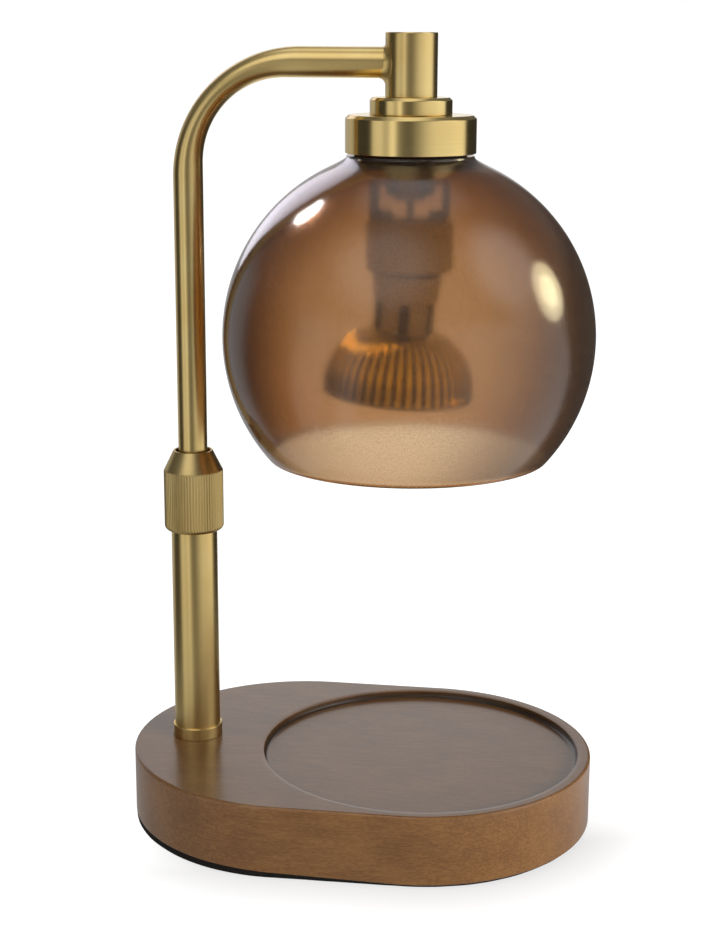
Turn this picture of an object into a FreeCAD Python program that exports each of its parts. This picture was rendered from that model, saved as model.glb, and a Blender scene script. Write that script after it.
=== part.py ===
import FreeCAD, Part
import Sketcher
import math
import os
import types

# Candle warmer lamp: a wooden base with a seat for a candle jar, a telescopic brass pole
# with a knurled lock nut, a bent arm, and a glass globe shade over a GU10 reflector lamp.
# +Z is up. The origin is at the middle of the base, on the surface that it stands on.

# Driving dimensions in millimetres: alias, value, meaning.
SIZES = (
    ("base_length", 161, "wooden base, end to end; both ends are half circles"),
    ("wood_thickness", 23.6, "wooden base, without the pad"),
    ("wood_top_round", 1.4, "round-over of the upper edge"),
    ("wood_bottom_round", 0.8, "round-over of the lower edge"),
    ("pad_thickness", 1.4, "foam pad under the base"),
    ("pad_inset", 0.9, "pad edge inside the wood's edge"),
    ("seat_dia", 110, "round recess that takes the candle jar"),
    ("seat_border", 4.5, "wood beside that recess; it makes the width of the base"),
    ("seat_depth", 2.4, "depth of that recess"),
    ("seat_corner", 1.2, "fillet at the recess floor"),
    ("seat_lip", 0.5, "round-over of the recess edge"),
    ("pole_inset", 21, "pole axis from the left end of the base"),
    ("wiring_radius", 14, "end radius of the pocket under the pole"),
    ("wiring_depth", 12.6, "depth of that pocket"),
    ("channel_width", 8, "lead channel to the back of the base"),
    ("channel_depth", 11.1, "depth of the lead channel"),
    ("cord_offset", 13, "cord hole left of the base centre"),
    ("cord_height", 6.1, "cord hole axis above the underside of the wood"),
    ("bushing_barrel", 8.6, "outside diameter of the cord bushing's barrel"),
    ("bushing_bore", 5.2, "cord bushing bore"),
    ("bushing_length", 13, "cord bushing barrel length"),
    ("bushing_flange", 13, "cord bushing flange diameter"),
    ("bushing_lip", 2, "cord bushing flange thickness"),
    ("ballast_dia", 66, "steel ballast disc"),
    ("ballast_thickness", 8, "ballast disc thickness"),
    ("ballast_gap", 0.5, "room round and below the ballast disc"),
    ("ballast_offset", 6, "ballast centre right of the recess centre"),
    ("ballast_screw_circle", 23, "radius of the circle of ballast screws"),
    ("wood_screw_dia", 4, "ballast screw shank"),
    ("wood_screw_head", 8, "ballast screw head"),
    ("wood_screw_length", 14, "ballast screw, overall"),
    ("pole_dia", 16, "outer tube of the telescopic pole"),
    ("pole_bore", 13, "bore of the outer tube"),
    ("pole_length", 92, "length of the outer tube"),
    ("ferrule_dia", 18, "turned ring round the pole's foot"),
    ("ferrule_height", 4.3, "height of that ring"),
    ("ferrule_chamfer", 0.4, "chamfer of that ring"),
    ("plug_length", 12, "threaded plug brazed into the pole's foot"),
    ("foot_nipple_dia", 10, "threaded tube that holds the pole down"),
    ("foot_nipple_bore", 7, "its bore for the leads"),
    ("foot_nipple_drop", 1.5, "its end below the pole nut"),
    ("nipple_hole_gap", 0.2, "radial room round a threaded tube in a plain hole"),
    ("pole_washer_dia", 26, "washer under the pole"),
    ("pole_washer_thickness", 1.5, "its thickness"),
    ("pole_nut_width", 17, "pole nut across flats"),
    ("pole_nut_height", 5, "pole nut height"),
    ("running_gap", 0.05, "radial clearance of sliding and turning fits"),
    ("body_gap", 0.3, "space left between pieces that move past each other"),
    ("nut_dia", 20.6, "knurled lock nut"),
    ("nut_height", 28.3, "its height"),
    ("nut_cone", 7.2, "height of its conical top"),
    ("nut_mouth", 12.1, "bore of its mouth"),
    ("nut_lip", 0.7, "wall at the mouth"),
    ("nut_throat", 2, "height of the plain mouth bore"),
    ("nut_grip", 16, "length of the nut below the pole's top"),
    ("nut_round", 1.8, "round-over of its lower edge"),
    ("knurl_count", 64, "grooves of its straight knurl"),
    ("knurl_depth", 0.32, "depth of a groove"),
    ("collet_spigot", 12, "collet length inside the pole"),
    ("collet_flange", 2, "height of the collet's thickest part"),
    ("collet_recess", 2.6, "collet top below the nut's top"),
    ("collet_slit", 0.9, "width of the collet's slits"),
    ("arm_dia", 10, "bent inner tube"),
    ("arm_bore", 8, "its bore"),
    ("arm_height", 235.5, "arm axis above the top of the wood"),
    ("arm_reach", 74.8, "pole axis to lamp axis"),
    ("arm_insertion", 42.5, "length of the tube inside the pole"),
    ("bend_radius", 36, "centre-line radius of the bend"),
    ("bush_length", 9, "nylon guide bush at the lower end of the tube"),
    ("bush_lip", 1, "lip of the bush under the tube's end"),
    ("cup_dia", 17, "turned cup at the end of the arm"),
    ("cup_rise", 9.6, "cup above the arm axis"),
    ("cup_drop", 10.9, "cup below the arm axis"),
    ("cup_wall", 2, "cup side wall"),
    ("cup_roof", 2, "cup top wall"),
    ("cup_floor", 4, "cup bottom wall"),
    ("cup_chamfer", 0.3, "chamfer of the cup's top edge"),
    ("boss_length", 4.5, "boss that the arm is brazed to, beyond the cup's side"),
    ("boss_round", 2.2, "fillet between boss and cup"),
    ("disc_dia", 27, "small turned disc"),
    ("disc_thickness", 5.6, "its thickness"),
    ("disc_chamfer", 0.9, "its chamfer"),
    ("cap_dia", 43, "turned cap over the shade"),
    ("cap_height", 12.3, "its height"),
    ("cap_chamfer", 1.1, "its chamfer"),
    ("cap_top", 4, "its top wall"),
    ("cap_wall", 2.6, "its side wall"),
    ("gasket_dia", 41.6, "rubber gasket between cap and glass"),
    ("gasket_thickness", 0.7, "its thickness"),
    ("glass_dia", 124.4, "globe shade"),
    ("glass_wall", 2.4, "its wall"),
    ("glass_mouth", 94.2, "outside of its open rim"),
    ("glass_collar", 42, "short collar at the top of the glass"),
    ("glass_collar_height", 1.45, "height of that collar"),
    ("glass_crown_wall", 2.5, "wall at the flat top"),
    ("glass_lip", 1, "fire-polished round of the rim"),
    ("head_nipple_dia", 10, "threaded tube that carries the lamp"),
    ("head_nipple_bore", 6, "its bore"),
    ("head_nipple_drop", 1.4, "its end below the bracket nut"),
    ("seal_dia", 32, "rubber washer under the glass"),
    ("seal_thickness", 1, "its thickness"),
    ("shade_washer_dia", 30, "steel washer under the rubber one"),
    ("shade_washer_thickness", 0.8, "its thickness"),
    ("shade_nut_width", 14, "nuts on the lamp's threaded tube, across flats"),
    ("shade_nut_height", 4, "nut under the shade"),
    ("bracket_nut_height", 3.5, "nut under the bracket"),
    ("bracket_span", 25, "bracket, leg to leg"),
    ("bracket_depth", 14, "bracket strip width"),
    ("bracket_strip", 1.2, "bracket strip thickness"),
    ("bracket_height", 12.7, "bracket, top to feet"),
    ("bracket_foot_border", 0.2, "bare foot on each side of a screw head"),
    ("bracket_screw_dia", 3, "bracket screw shank"),
    ("bracket_screw_head", 5, "bracket screw head"),
    ("bracket_screw_head_height", 2, "its height"),
    ("bracket_screw_length", 6.5, "bracket screw below its head"),
    ("holder_dia", 28.5, "ceramic lamp holder"),
    ("holder_height", 17, "its height"),
    ("holder_chamfer", 1.2, "its edges"),
    ("pin_circle", 10, "distance between the lamp pins"),
    ("pin_dia", 3, "lamp pin"),
    ("pin_length", 4.6, "lamp pin up to its head"),
    ("pin_head_dia", 5, "lamp pin head"),
    ("pin_head_height", 2.5, "its height"),
    ("pin_room", 0.4, "room round the pins in their slots"),
    ("slot_floor", 4, "holder wall that the pin heads hook behind"),
    ("slot_height", 3.6, "room behind that wall"),
    ("lock_angle", 25, "turn that locks the lamp, in degrees"),
    ("contact_width", 4.6, "spring contact"),
    ("contact_thickness", 0.5, "its thickness"),
    ("wire_dia", 2.2, "sleeved lamp wire"),
    ("wire_spacing", 2.8, "distance between the two wires"),
    ("wire_seat", 3, "depth of the wires in the holder"),
    ("lead_dia", 4, "two-core lead inside the arm"),
    ("lead_bend", 8, "bend of the lead inside the cup"),
    ("lamp_base_dia", 23, "ceramic base of the lamp"),
    ("lamp_base_height", 9, "its height"),
    ("lamp_base_taper", 0.8, "how much its radius shrinks downwards"),
    ("lamp_neck_dia", 20.4, "neck of the reflector"),
    ("lamp_neck_length", 9, "its length"),
    ("lamp_spigot_dia", 16.4, "part of the ceramic base inside the neck"),
    ("lamp_spigot_length", 7, "its length"),
    ("lamp_dia", 50, "reflector lamp"),
    ("lamp_rim", 2.6, "height of its plain rim"),
    ("lamp_dome", 20, "radius of the reflector's curve"),
    ("lamp_wall", 1.6, "reflector wall"),
    ("flute_count", 32, "flutes of the reflector"),
    ("flute_radius", 0.9, "radius of a flute"),
    ("flute_sweep", 70, "length of a flute round the curve, in degrees"),
    ("lens_thickness", 1.5, "front glass"),
    ("lens_inset", 0.5, "front glass above the rim's edge"),
    ("capsule_dia", 9, "halogen capsule"),
    ("capsule_length", 17, "its length below the ceramic"),
)

doc = FreeCAD.newDocument("candle_warmer_lamp")
sheet = doc.addObject("Spreadsheet::Sheet", "dims")
for row, (alias, value, meaning) in enumerate(SIZES, 1):
    sheet.set(f"A{row}", meaning)
    sheet.set(f"B{row}", str(value))
    sheet.setAlias(f"B{row}", alias)
doc.recompute()


# ---- sizes that carry both their number and the expression that gives it

class Size:
    def __init__(self, number, text):
        self.number = number
        self.text = text

    def join(self, other, sign, number):
        return Size(number, f"({self.text} {sign} {as_size(other).text})")

    def __add__(self, other):
        return self.join(other, "+", self.number + as_size(other).number)

    def __sub__(self, other):
        return self.join(other, "-", self.number - as_size(other).number)

    def __mul__(self, other):
        return self.join(other, "*", self.number * as_size(other).number)

    def __truediv__(self, other):
        return self.join(other, "/", self.number / as_size(other).number)

    def __neg__(self):
        return Size(-self.number, f"(-{self.text})")


def as_size(value):
    return value if isinstance(value, Size) else Size(float(value), repr(float(value)))


def root(size):
    return Size(math.sqrt(size.number), f"sqrt({size.text})")


def cosine(size):
    return Size(math.cos(math.radians(size.number)), f"cos({size.text} * 1 deg)")


def sine(size):
    return Size(math.sin(math.radians(size.number)), f"sin({size.text} * 1 deg)")


dim = types.SimpleNamespace(**{a: Size(float(v), "dims." + a) for a, v, meaning in SIZES})
nothing = as_size(0)

# ---- places that several pieces share

base_top = dim.pad_thickness + dim.wood_thickness
base_width = dim.seat_dia + dim.seat_border * 2
pole_x = dim.pole_inset - dim.base_length / 2
seat_x = (dim.base_length - base_width) / 2
seat_floor = base_top - dim.seat_depth
pole_top = base_top + dim.pole_length
nut_bottom = pole_top - dim.nut_grip
nut_top = nut_bottom + dim.nut_height
arm_z = base_top + dim.arm_height
arm_end = pole_top - dim.arm_insertion
head_x = pole_x + dim.arm_reach
cup_bottom = arm_z - dim.cup_drop
cap_top_z = cup_bottom - dim.disc_thickness
cap_bottom = cap_top_z - dim.cap_height
glass_top = cap_bottom - dim.gasket_thickness
collar_drop = root(dim.glass_dia * dim.glass_dia - dim.glass_collar * dim.glass_collar) / 2
glass_crown = collar_drop + dim.glass_collar_height
glass_centre = glass_top - glass_crown
seal_top = glass_top - dim.glass_crown_wall
washer_top = seal_top - dim.seal_thickness
shade_nut_top = washer_top - dim.shade_washer_thickness
bracket_top = shade_nut_top - dim.shade_nut_height
bracket_nut_top = bracket_top - dim.bracket_strip
head_nipple_end = bracket_nut_top - dim.bracket_nut_height - dim.head_nipple_drop
holder_top = bracket_top - dim.bracket_height
bracket_foot = dim.bracket_strip + dim.bracket_screw_head + dim.bracket_foot_border * 2
holder_face = holder_top - dim.holder_height
lamp_top = holder_face - dim.body_gap
neck_top = lamp_top - dim.lamp_base_height
dome_top = neck_top - dim.lamp_neck_length
rim_top = dome_top - dim.lamp_dome
rim_bottom = rim_top - dim.lamp_rim


# ---- helpers for bodies, sketches and features

def new_body(name, x=nothing, y=nothing):
    body = doc.addObject("PartDesign::Body", name)
    body.Label = name
    body.setExpression(".Placement.Base.x", x.text)
    body.setExpression(".Placement.Base.y", y.text)
    return body


def new_sketch(body, name, role, x=nothing, y=nothing, z=nothing):
    sketch = body.newObject("Sketcher::SketchObject", name)
    plane = next(item for item in body.Origin.OriginFeatures if item.Role == role)
    sketch.AttachmentSupport = [(plane, "")]
    sketch.MapMode = "FlatFace"
    for axis, offset in (("x", x), ("y", y), ("z", z)):
        sketch.setExpression(f".AttachmentOffset.Base.{axis}", offset.text)
    return sketch


def tie(sketch, kind, *places, size):
    index = sketch.addConstraint(Sketcher.Constraint(kind, *places, size.number))
    sketch.setExpression(f"Constraints[{index}]", size.text)


def locate(sketch, geometry, point, x, y):
    # The datum stays positive, so a point left of or below the origin is measured back to it.
    for kind, axis, size in (("DistanceX", -2, x), ("DistanceY", -1, y)):
        if abs(size.number) < 1e-9:
            sketch.addConstraint(Sketcher.Constraint("PointOnObject", geometry, point, axis))
        elif size.number > 0:
            tie(sketch, kind, -1, 1, geometry, point, size=size)
        else:
            tie(sketch, kind, geometry, point, -1, 1, size=-size)


def draw_circle(sketch, diameter, x=nothing, y=nothing):
    centre = FreeCAD.Vector(x.number, y.number, 0)
    circle = Part.Circle(centre, FreeCAD.Vector(0, 0, 1), diameter.number / 2)
    index = sketch.addGeometry(circle, False)
    tie(sketch, "Diameter", index, size=diameter)
    locate(sketch, index, 3, x, y)


def draw_outline(sketch, corners, arcs=None):
    """Closes straight edges through the corners. arcs gives, for the edge that leaves a
    corner, its centre, its radius and whether it turns anticlockwise."""
    arcs = arcs or {}
    corners = [(as_size(x), as_size(y)) for x, y in corners]
    count = len(corners)
    for index, (x, y) in enumerate(corners):
        following = corners[(index + 1) % count]
        start = FreeCAD.Vector(x.number, y.number, 0)
        end = FreeCAD.Vector(following[0].number, following[1].number, 0)
        if index in arcs:
            centre_x, centre_y, radius, anticlockwise = arcs[index]
            centre = FreeCAD.Vector(as_size(centre_x).number, as_size(centre_y).number, 0)
            circle = Part.Circle(centre, FreeCAD.Vector(0, 0, 1), radius.number)
            first, last = (start, end) if anticlockwise else (end, start)
            angles = [math.atan2(p.y - centre.y, p.x - centre.x) for p in (first, last)]
            sketch.addGeometry(Part.ArcOfCircle(circle, angles[0], angles[1]), False)
        else:
            sketch.addGeometry(Part.LineSegment(start, end), False)

    def ends(index):
        backwards = index in arcs and not arcs[index][3]
        return (2, 1) if backwards else (1, 2)

    for index, (x, y) in enumerate(corners):
        previous = (index - 1) % count
        sketch.addConstraint(Sketcher.Constraint(
            "Coincident", previous, ends(previous)[1], index, ends(index)[0]))
        locate(sketch, index, ends(index)[0], x, y)
    for index in arcs:
        tie(sketch, "Radius", index, size=arcs[index][2])


def draw_stadium(sketch, length, width):
    middle = (length.number - width.number) / 2
    radius = width.number / 2
    up = FreeCAD.Vector(0, 0, 1)
    circles = [Part.Circle(FreeCAD.Vector(x, 0, 0), up, radius) for x in (middle, -middle)]
    quarter = math.pi / 2
    corner = FreeCAD.Vector(middle, radius, 0)
    opposite = FreeCAD.Vector(-middle, radius, 0)
    sketch.addGeometry(Part.ArcOfCircle(circles[0], -quarter, quarter), False)
    sketch.addGeometry(Part.LineSegment(corner, opposite), False)
    sketch.addGeometry(Part.ArcOfCircle(circles[1], quarter, 3 * quarter), False)
    sketch.addGeometry(Part.LineSegment(-corner, -opposite), False)
    for first, second in ((0, 1), (1, 2), (2, 3), (3, 0)):
        sketch.addConstraint(Sketcher.Constraint("Tangent", first, 2, second, 1))
    sketch.addConstraint(Sketcher.Constraint("Symmetric", 0, 3, 2, 3, -1, 1))
    sketch.addConstraint(Sketcher.Constraint("PointOnObject", 0, 3, -1))
    sketch.addConstraint(Sketcher.Constraint("Equal", 0, 2))
    tie(sketch, "Radius", 0, size=width / 2)
    tie(sketch, "DistanceX", 2, 3, 0, 3, size=length - width)


def add_feature(body, kind, name, sketch, backwards=False, **sizes):
    feature = body.newObject("PartDesign::" + kind, name)
    feature.Profile = sketch
    feature.Reversed = backwards
    for key, size in sizes.items():
        feature.setExpression(key, size.text)
    return feature


def turn(body, name, corners, arcs=None, kind="Revolution", angle=360):
    """Turns an outline of radius and height about the body's vertical axis."""
    sketch = new_sketch(body, name + "_profile", "XZ_Plane")
    draw_outline(sketch, corners, arcs)
    feature = body.newObject("PartDesign::" + kind, name)
    feature.Profile = sketch
    feature.ReferenceAxis = (sketch, ["V_Axis"])
    feature.Angle = angle
    return feature


def cut_through(body, name, sketch, backwards=False):
    feature = add_feature(body, "Pocket", name, sketch, backwards)
    feature.Type = "ThroughAll"
    return feature


def drill(body, name, diameter, places, z, depth, upwards=False):
    """Round holes that start at the level z and go down, or up."""
    sketch = new_sketch(body, name + "_circles", "XY_Plane", z=z)
    for x, y in places:
        draw_circle(sketch, diameter, as_size(x), as_size(y))
    return add_feature(body, "Pocket", name, sketch, upwards, Length=depth)


def repeat_round(body, feature, name, count):
    axis = next(item for item in body.Origin.OriginFeatures if item.Role == "Z_Axis")
    pattern = body.newObject("PartDesign::PolarPattern", name)
    pattern.Originals = [feature]
    pattern.Axis = (axis, [""])
    pattern.Angle = 360
    pattern.setExpression("Occurrences", count.text)
    body.Tip = pattern
    return pattern


def round_edges(body, name, kind, size, wanted):
    """Fillets or chamfers the edges of the body's last feature for which wanted is true."""
    doc.recompute()
    feature = body.Tip
    edges = [f"Edge{i}" for i, edge in enumerate(feature.Shape.Edges, 1) if wanted(edge)]
    rounded = body.newObject("PartDesign::" + kind, name)
    rounded.Base = (feature, edges)
    rounded.setExpression("Radius" if kind == "Fillet" else "Size", size.text)
    return rounded


def level(edge, z, tolerance=1e-4):
    box = edge.BoundBox
    return abs(box.ZMin - z.number) < tolerance and abs(box.ZMax - z.number) < tolerance


def ring_at(edge, z, radius):
    return (isinstance(edge.Curve, Part.Circle) and level(edge, z)
            and abs(edge.Curve.Radius - radius.number) < 1e-4)


def washer(name, x, top, outer, bore, thickness):
    body = new_body(name, x)
    sketch = new_sketch(body, name + "_circles", "XY_Plane", z=top)
    draw_circle(sketch, outer)
    draw_circle(sketch, bore)
    add_feature(body, "Pad", name + "_disc", sketch, True, Length=thickness)
    return body


def hex_nut(name, x, top, width, height, bore):
    """A hexagon nut whose corners are chamfered at 30 degrees on both faces."""
    body = new_body(name, x)
    sketch = new_sketch(body, name + "_hexagon", "XY_Plane", z=top)
    corner = width / math.sqrt(3)
    angles = [math.radians(60 * step) for step in range(6)]
    draw_outline(sketch, [(corner * math.cos(a), corner * math.sin(a)) for a in angles])
    add_feature(body, "Pad", name + "_pad", sketch, True, Length=height)
    drill(body, name + "_thread", bore, [(0, 0)], top, height)
    outside = corner + 1
    slope = (outside - width / 2) * math.tan(math.radians(30))
    bottom = top - height
    turn(body, name + "_upper_chamfer", [
        (width / 2, top), (outside, top), (outside, top - slope)], kind="Groove")
    turn(body, name + "_lower_chamfer", [
        (width / 2, bottom), (outside, bottom + slope), (outside, bottom)], kind="Groove")
    return body


def whole_piece(name, shape):
    piece = doc.addObject("Part::Feature", name)
    piece.Label = name
    piece.Shape = shape
    return piece


# ---- base

def wood_base():
    body = new_body("wood_base")
    sketch = new_sketch(body, "wood_outline", "XY_Plane", z=dim.pad_thickness)
    draw_stadium(sketch, dim.base_length, base_width)
    add_feature(body, "Pad", "wood_block", sketch, Length=dim.wood_thickness)
    round_edges(body, "wood_top_edge", "Fillet", dim.wood_top_round,
                lambda edge: level(edge, base_top))
    round_edges(body, "wood_bottom_edge", "Fillet", dim.wood_bottom_round,
                lambda edge: level(edge, dim.pad_thickness))
    recess = new_sketch(body, "seat_circle", "XY_Plane", x=seat_x, z=base_top)
    draw_circle(recess, dim.seat_dia)
    add_feature(body, "Pocket", "seat", recess, Length=dim.seat_depth)
    round_edges(body, "seat_fillet", "Fillet", dim.seat_corner,
                lambda edge: ring_at(edge, seat_floor, dim.seat_dia / 2))
    round_edges(body, "seat_edge", "Fillet", dim.seat_lip,
                lambda edge: ring_at(edge, base_top, dim.seat_dia / 2))
    hole = new_sketch(body, "pole_hole_circle", "XY_Plane", x=pole_x, z=dim.pad_thickness)
    draw_circle(hole, dim.foot_nipple_dia + dim.nipple_hole_gap * 2)
    cut_through(body, "pole_hole", hole, True)
    # The pocket under the pole runs on to the lead channel and shares its right-hand side.
    pocket_end = -dim.cord_offset + dim.channel_width / 2
    pocket_start = pole_x - dim.wiring_radius
    wiring = new_sketch(body, "wiring_outline", "XY_Plane",
                        x=(pocket_start + pocket_end) / 2, z=dim.pad_thickness)
    draw_stadium(wiring, pocket_end - pocket_start, dim.wiring_radius * 2)
    add_feature(body, "Pocket", "wiring_pocket", wiring, True, Length=dim.wiring_depth)
    barrel_end = base_width / 2 - dim.bushing_length
    channel = new_sketch(body, "channel_outline", "XY_Plane", x=-dim.cord_offset,
                         z=dim.pad_thickness)
    half = dim.channel_width / 2
    draw_outline(channel, [(-half, nothing), (half, nothing),
                           (half, barrel_end), (-half, barrel_end)])
    add_feature(body, "Pocket", "lead_channel", channel, True, Length=dim.channel_depth)
    cord = new_sketch(body, "cord_circle", "XZ_Plane", x=-dim.cord_offset,
                      y=dim.pad_thickness + dim.cord_height, z=-base_width / 2)
    draw_circle(cord, dim.bushing_barrel)
    add_feature(body, "Pocket", "cord_hole", cord, True, Length=dim.bushing_length + half)
    ballast = new_sketch(body, "ballast_circle", "XY_Plane",
                         x=seat_x + dim.ballast_offset, z=dim.pad_thickness)
    draw_circle(ballast, dim.ballast_dia + dim.ballast_gap * 2)
    add_feature(body, "Pocket", "ballast_pocket", ballast, True,
                Length=dim.ballast_thickness + dim.ballast_gap)
    pilot = new_sketch(body, "pilot_circles", "XY_Plane",
                       x=seat_x + dim.ballast_offset, z=dim.pad_thickness)
    for x, y in ballast_screw_places():
        draw_circle(pilot, dim.wood_screw_dia, x, y)
    add_feature(body, "Pocket", "pilot_holes", pilot, True,
                Length=dim.ballast_gap + dim.wood_screw_length)


def ballast_screw_places():
    radius = dim.ballast_screw_circle
    angles = [math.radians(30 + 120 * step) for step in range(3)]
    return [(radius * math.cos(a), radius * math.sin(a)) for a in angles]


def base_pad():
    body = new_body("base_pad")
    sketch = new_sketch(body, "pad_outline", "XY_Plane")
    inset = dim.pad_inset * 2
    draw_stadium(sketch, dim.base_length - inset, base_width - inset)
    add_feature(body, "Pad", "pad_sheet", sketch, Length=dim.pad_thickness)


def ballast_plate():
    body = new_body("ballast_plate", seat_x + dim.ballast_offset)
    under = dim.pad_thickness + dim.ballast_gap
    sketch = new_sketch(body, "ballast_disc_circle", "XY_Plane", z=under)
    draw_circle(sketch, dim.ballast_dia)
    add_feature(body, "Pad", "ballast_disc", sketch, Length=dim.ballast_thickness)
    drill(body, "screw_holes", dim.wood_screw_dia, ballast_screw_places(), under,
          dim.ballast_thickness, upwards=True)
    sink = (dim.wood_screw_head - dim.wood_screw_dia) / 2
    round_edges(body, "countersinks", "Chamfer", sink,
                lambda edge: ring_at(edge, under, dim.wood_screw_dia / 2))


def ballast_screws():
    head = dim.wood_screw_head.number / 2
    shank = dim.wood_screw_dia.number / 2
    length = dim.wood_screw_length.number
    under = dim.pad_thickness.number + dim.ballast_gap.number
    middle = seat_x.number + dim.ballast_offset.number
    screws = []
    for x, y in ballast_screw_places():
        foot = FreeCAD.Vector(middle + x.number, y.number, under)
        cone = Part.makeCone(head, shank, head - shank, foot)
        body = cone.fuse(Part.makeCylinder(shank, length, foot)).removeSplitter()
        socket = Part.makeBox(head, 1.0, 1.0, foot - FreeCAD.Vector(head / 2, 0.5, 0))
        cross = Part.makeBox(1.0, head, 1.0, foot - FreeCAD.Vector(0.5, head / 2, 0))
        screws.append(body.cut(socket).cut(cross))
    whole_piece("ballast_screws", Part.makeCompound(screws))


def cord_bushing():
    """A snap-in bushing whose axis runs front to back through the rear of the base."""
    body = new_body("cord_bushing", -dim.cord_offset)
    wall = base_width / 2
    height = dim.pad_thickness + dim.cord_height
    flange = new_sketch(body, "bushing_flange_circle", "XZ_Plane", y=height,
                        z=-(wall + dim.bushing_lip))
    draw_circle(flange, dim.bushing_flange)
    add_feature(body, "Pad", "bushing_flange", flange, Length=dim.bushing_lip)
    barrel = new_sketch(body, "bushing_barrel_circle", "XZ_Plane", y=height, z=-wall)
    draw_circle(barrel, dim.bushing_barrel)
    add_feature(body, "Pad", "bushing_barrel", barrel, Length=dim.bushing_length)
    bore = new_sketch(body, "bushing_bore_circle", "XZ_Plane", y=height,
                      z=-(wall + dim.bushing_lip))
    draw_circle(bore, dim.bushing_bore)
    add_feature(body, "Pocket", "bushing_bore", bore, True,
                Length=dim.bushing_lip + dim.bushing_length)


# ---- pole

def pole_parts():
    outer = dim.pole_dia / 2
    bore = dim.pole_bore / 2
    nipple = dim.foot_nipple_dia / 2
    washer_z = dim.pad_thickness + dim.wiring_depth
    nut_z = washer_z - dim.pole_washer_thickness
    nipple_end = nut_z - dim.pole_nut_height - dim.foot_nipple_drop
    plug_top = base_top + dim.plug_length
    washer("pole_washer", pole_x, washer_z, dim.pole_washer_dia,
           dim.foot_nipple_dia + dim.nipple_hole_gap * 2, dim.pole_washer_thickness)
    hex_nut("pole_nut", pole_x, nut_z, dim.pole_nut_width, dim.pole_nut_height,
            dim.foot_nipple_dia)
    body = new_body("foot_nipple", pole_x)
    turn(body, "foot_nipple_tube", [
        (dim.foot_nipple_bore / 2, nipple_end), (nipple, nipple_end),
        (nipple, plug_top), (dim.foot_nipple_bore / 2, plug_top)])
    body = new_body("pole_plug", pole_x)
    turn(body, "pole_plug_ring", [
        (nipple, base_top), (bore, base_top), (bore, plug_top), (nipple, plug_top)])
    ferrule_top = base_top + dim.ferrule_height
    ferrule = dim.ferrule_dia / 2
    body = new_body("pole_ferrule", pole_x)
    turn(body, "pole_ferrule_ring", [
        (outer, base_top), (ferrule, base_top), (ferrule, ferrule_top - dim.ferrule_chamfer),
        (ferrule - dim.ferrule_chamfer, ferrule_top), (outer, ferrule_top)])
    body = new_body("pole_tube", pole_x)
    turn(body, "pole_tube_wall", [
        (bore, base_top), (outer, base_top), (outer, pole_top), (bore, pole_top)])


def throat_radius():
    return dim.nut_mouth / 2


def lock_nut():
    """A turned nut: knurled grip, conical top, bore over the pole and inner cone that
    squeezes the collet."""
    body = new_body("lock_nut", pole_x)
    outer = dim.nut_dia / 2
    bore = dim.pole_dia / 2 + dim.running_gap
    mouth = throat_radius()
    shoulder = nut_top - dim.nut_cone
    turn(body, "nut_body", [
        (bore, nut_bottom),
        (outer - dim.nut_round, nut_bottom),
        (outer, nut_bottom + dim.nut_round),
        (outer, shoulder),
        (mouth + dim.nut_lip, nut_top),
        (mouth, nut_top),
        (mouth, nut_top - dim.nut_throat),
        (bore, pole_top + dim.body_gap + dim.collet_flange),
    ], {1: (outer - dim.nut_round, nut_bottom + dim.nut_round, dim.nut_round, True)})
    # Each groove is a V that opens outwards; the cone runs the grooves out at the shoulder.
    sketch = new_sketch(body, "groove_outline", "XY_Plane", z=nut_bottom)
    spill = dim.knurl_depth
    half_width = outer * math.pi / dim.knurl_count * 0.9
    draw_outline(sketch, [(outer - dim.knurl_depth, nothing),
                          (outer + spill, half_width * 2), (outer + spill, -half_width * 2)])
    groove = cut_through(body, "knurl_groove", sketch, True)
    repeat_round(body, groove, "knurl", dim.knurl_count)


def collet():
    """A split nylon sleeve: spigot in the pole, flange over its end, slit cone in the nut."""
    body = new_body("collet", pole_x)
    bore = dim.arm_dia / 2 + dim.running_gap
    spigot = dim.pole_bore / 2 - dim.running_gap
    flange = dim.pole_dia / 2 + dim.running_gap - dim.body_gap * 1.2
    top = nut_top - dim.collet_recess
    flange_bottom = pole_top + dim.body_gap
    flange_top = flange_bottom + dim.collet_flange
    # The cone keeps the same distance from the nut's inner cone all the way up.
    nut_rise = nut_top - dim.nut_throat - flange_top
    slope = (dim.pole_dia / 2 + dim.running_gap - throat_radius()) / nut_rise
    turn(body, "collet_sleeve", [
        (bore, pole_top - dim.collet_spigot), (spigot, pole_top - dim.collet_spigot),
        (spigot, flange_bottom), (flange, flange_bottom), (flange, flange_top),
        (flange - slope * (top - flange_top), top), (bore, top)])
    slit = dim.collet_slit / 2
    for name, x, y in (("long_slit", dim.pole_dia, slit), ("cross_slit", slit, dim.pole_dia)):
        sketch = new_sketch(body, name + "_outline", "XY_Plane", z=top)
        draw_outline(sketch, [(-x, -y), (x, -y), (x, y), (-x, y)])
        add_feature(body, "Pocket", name, sketch, Length=top - flange_top)


# ---- arm

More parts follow.
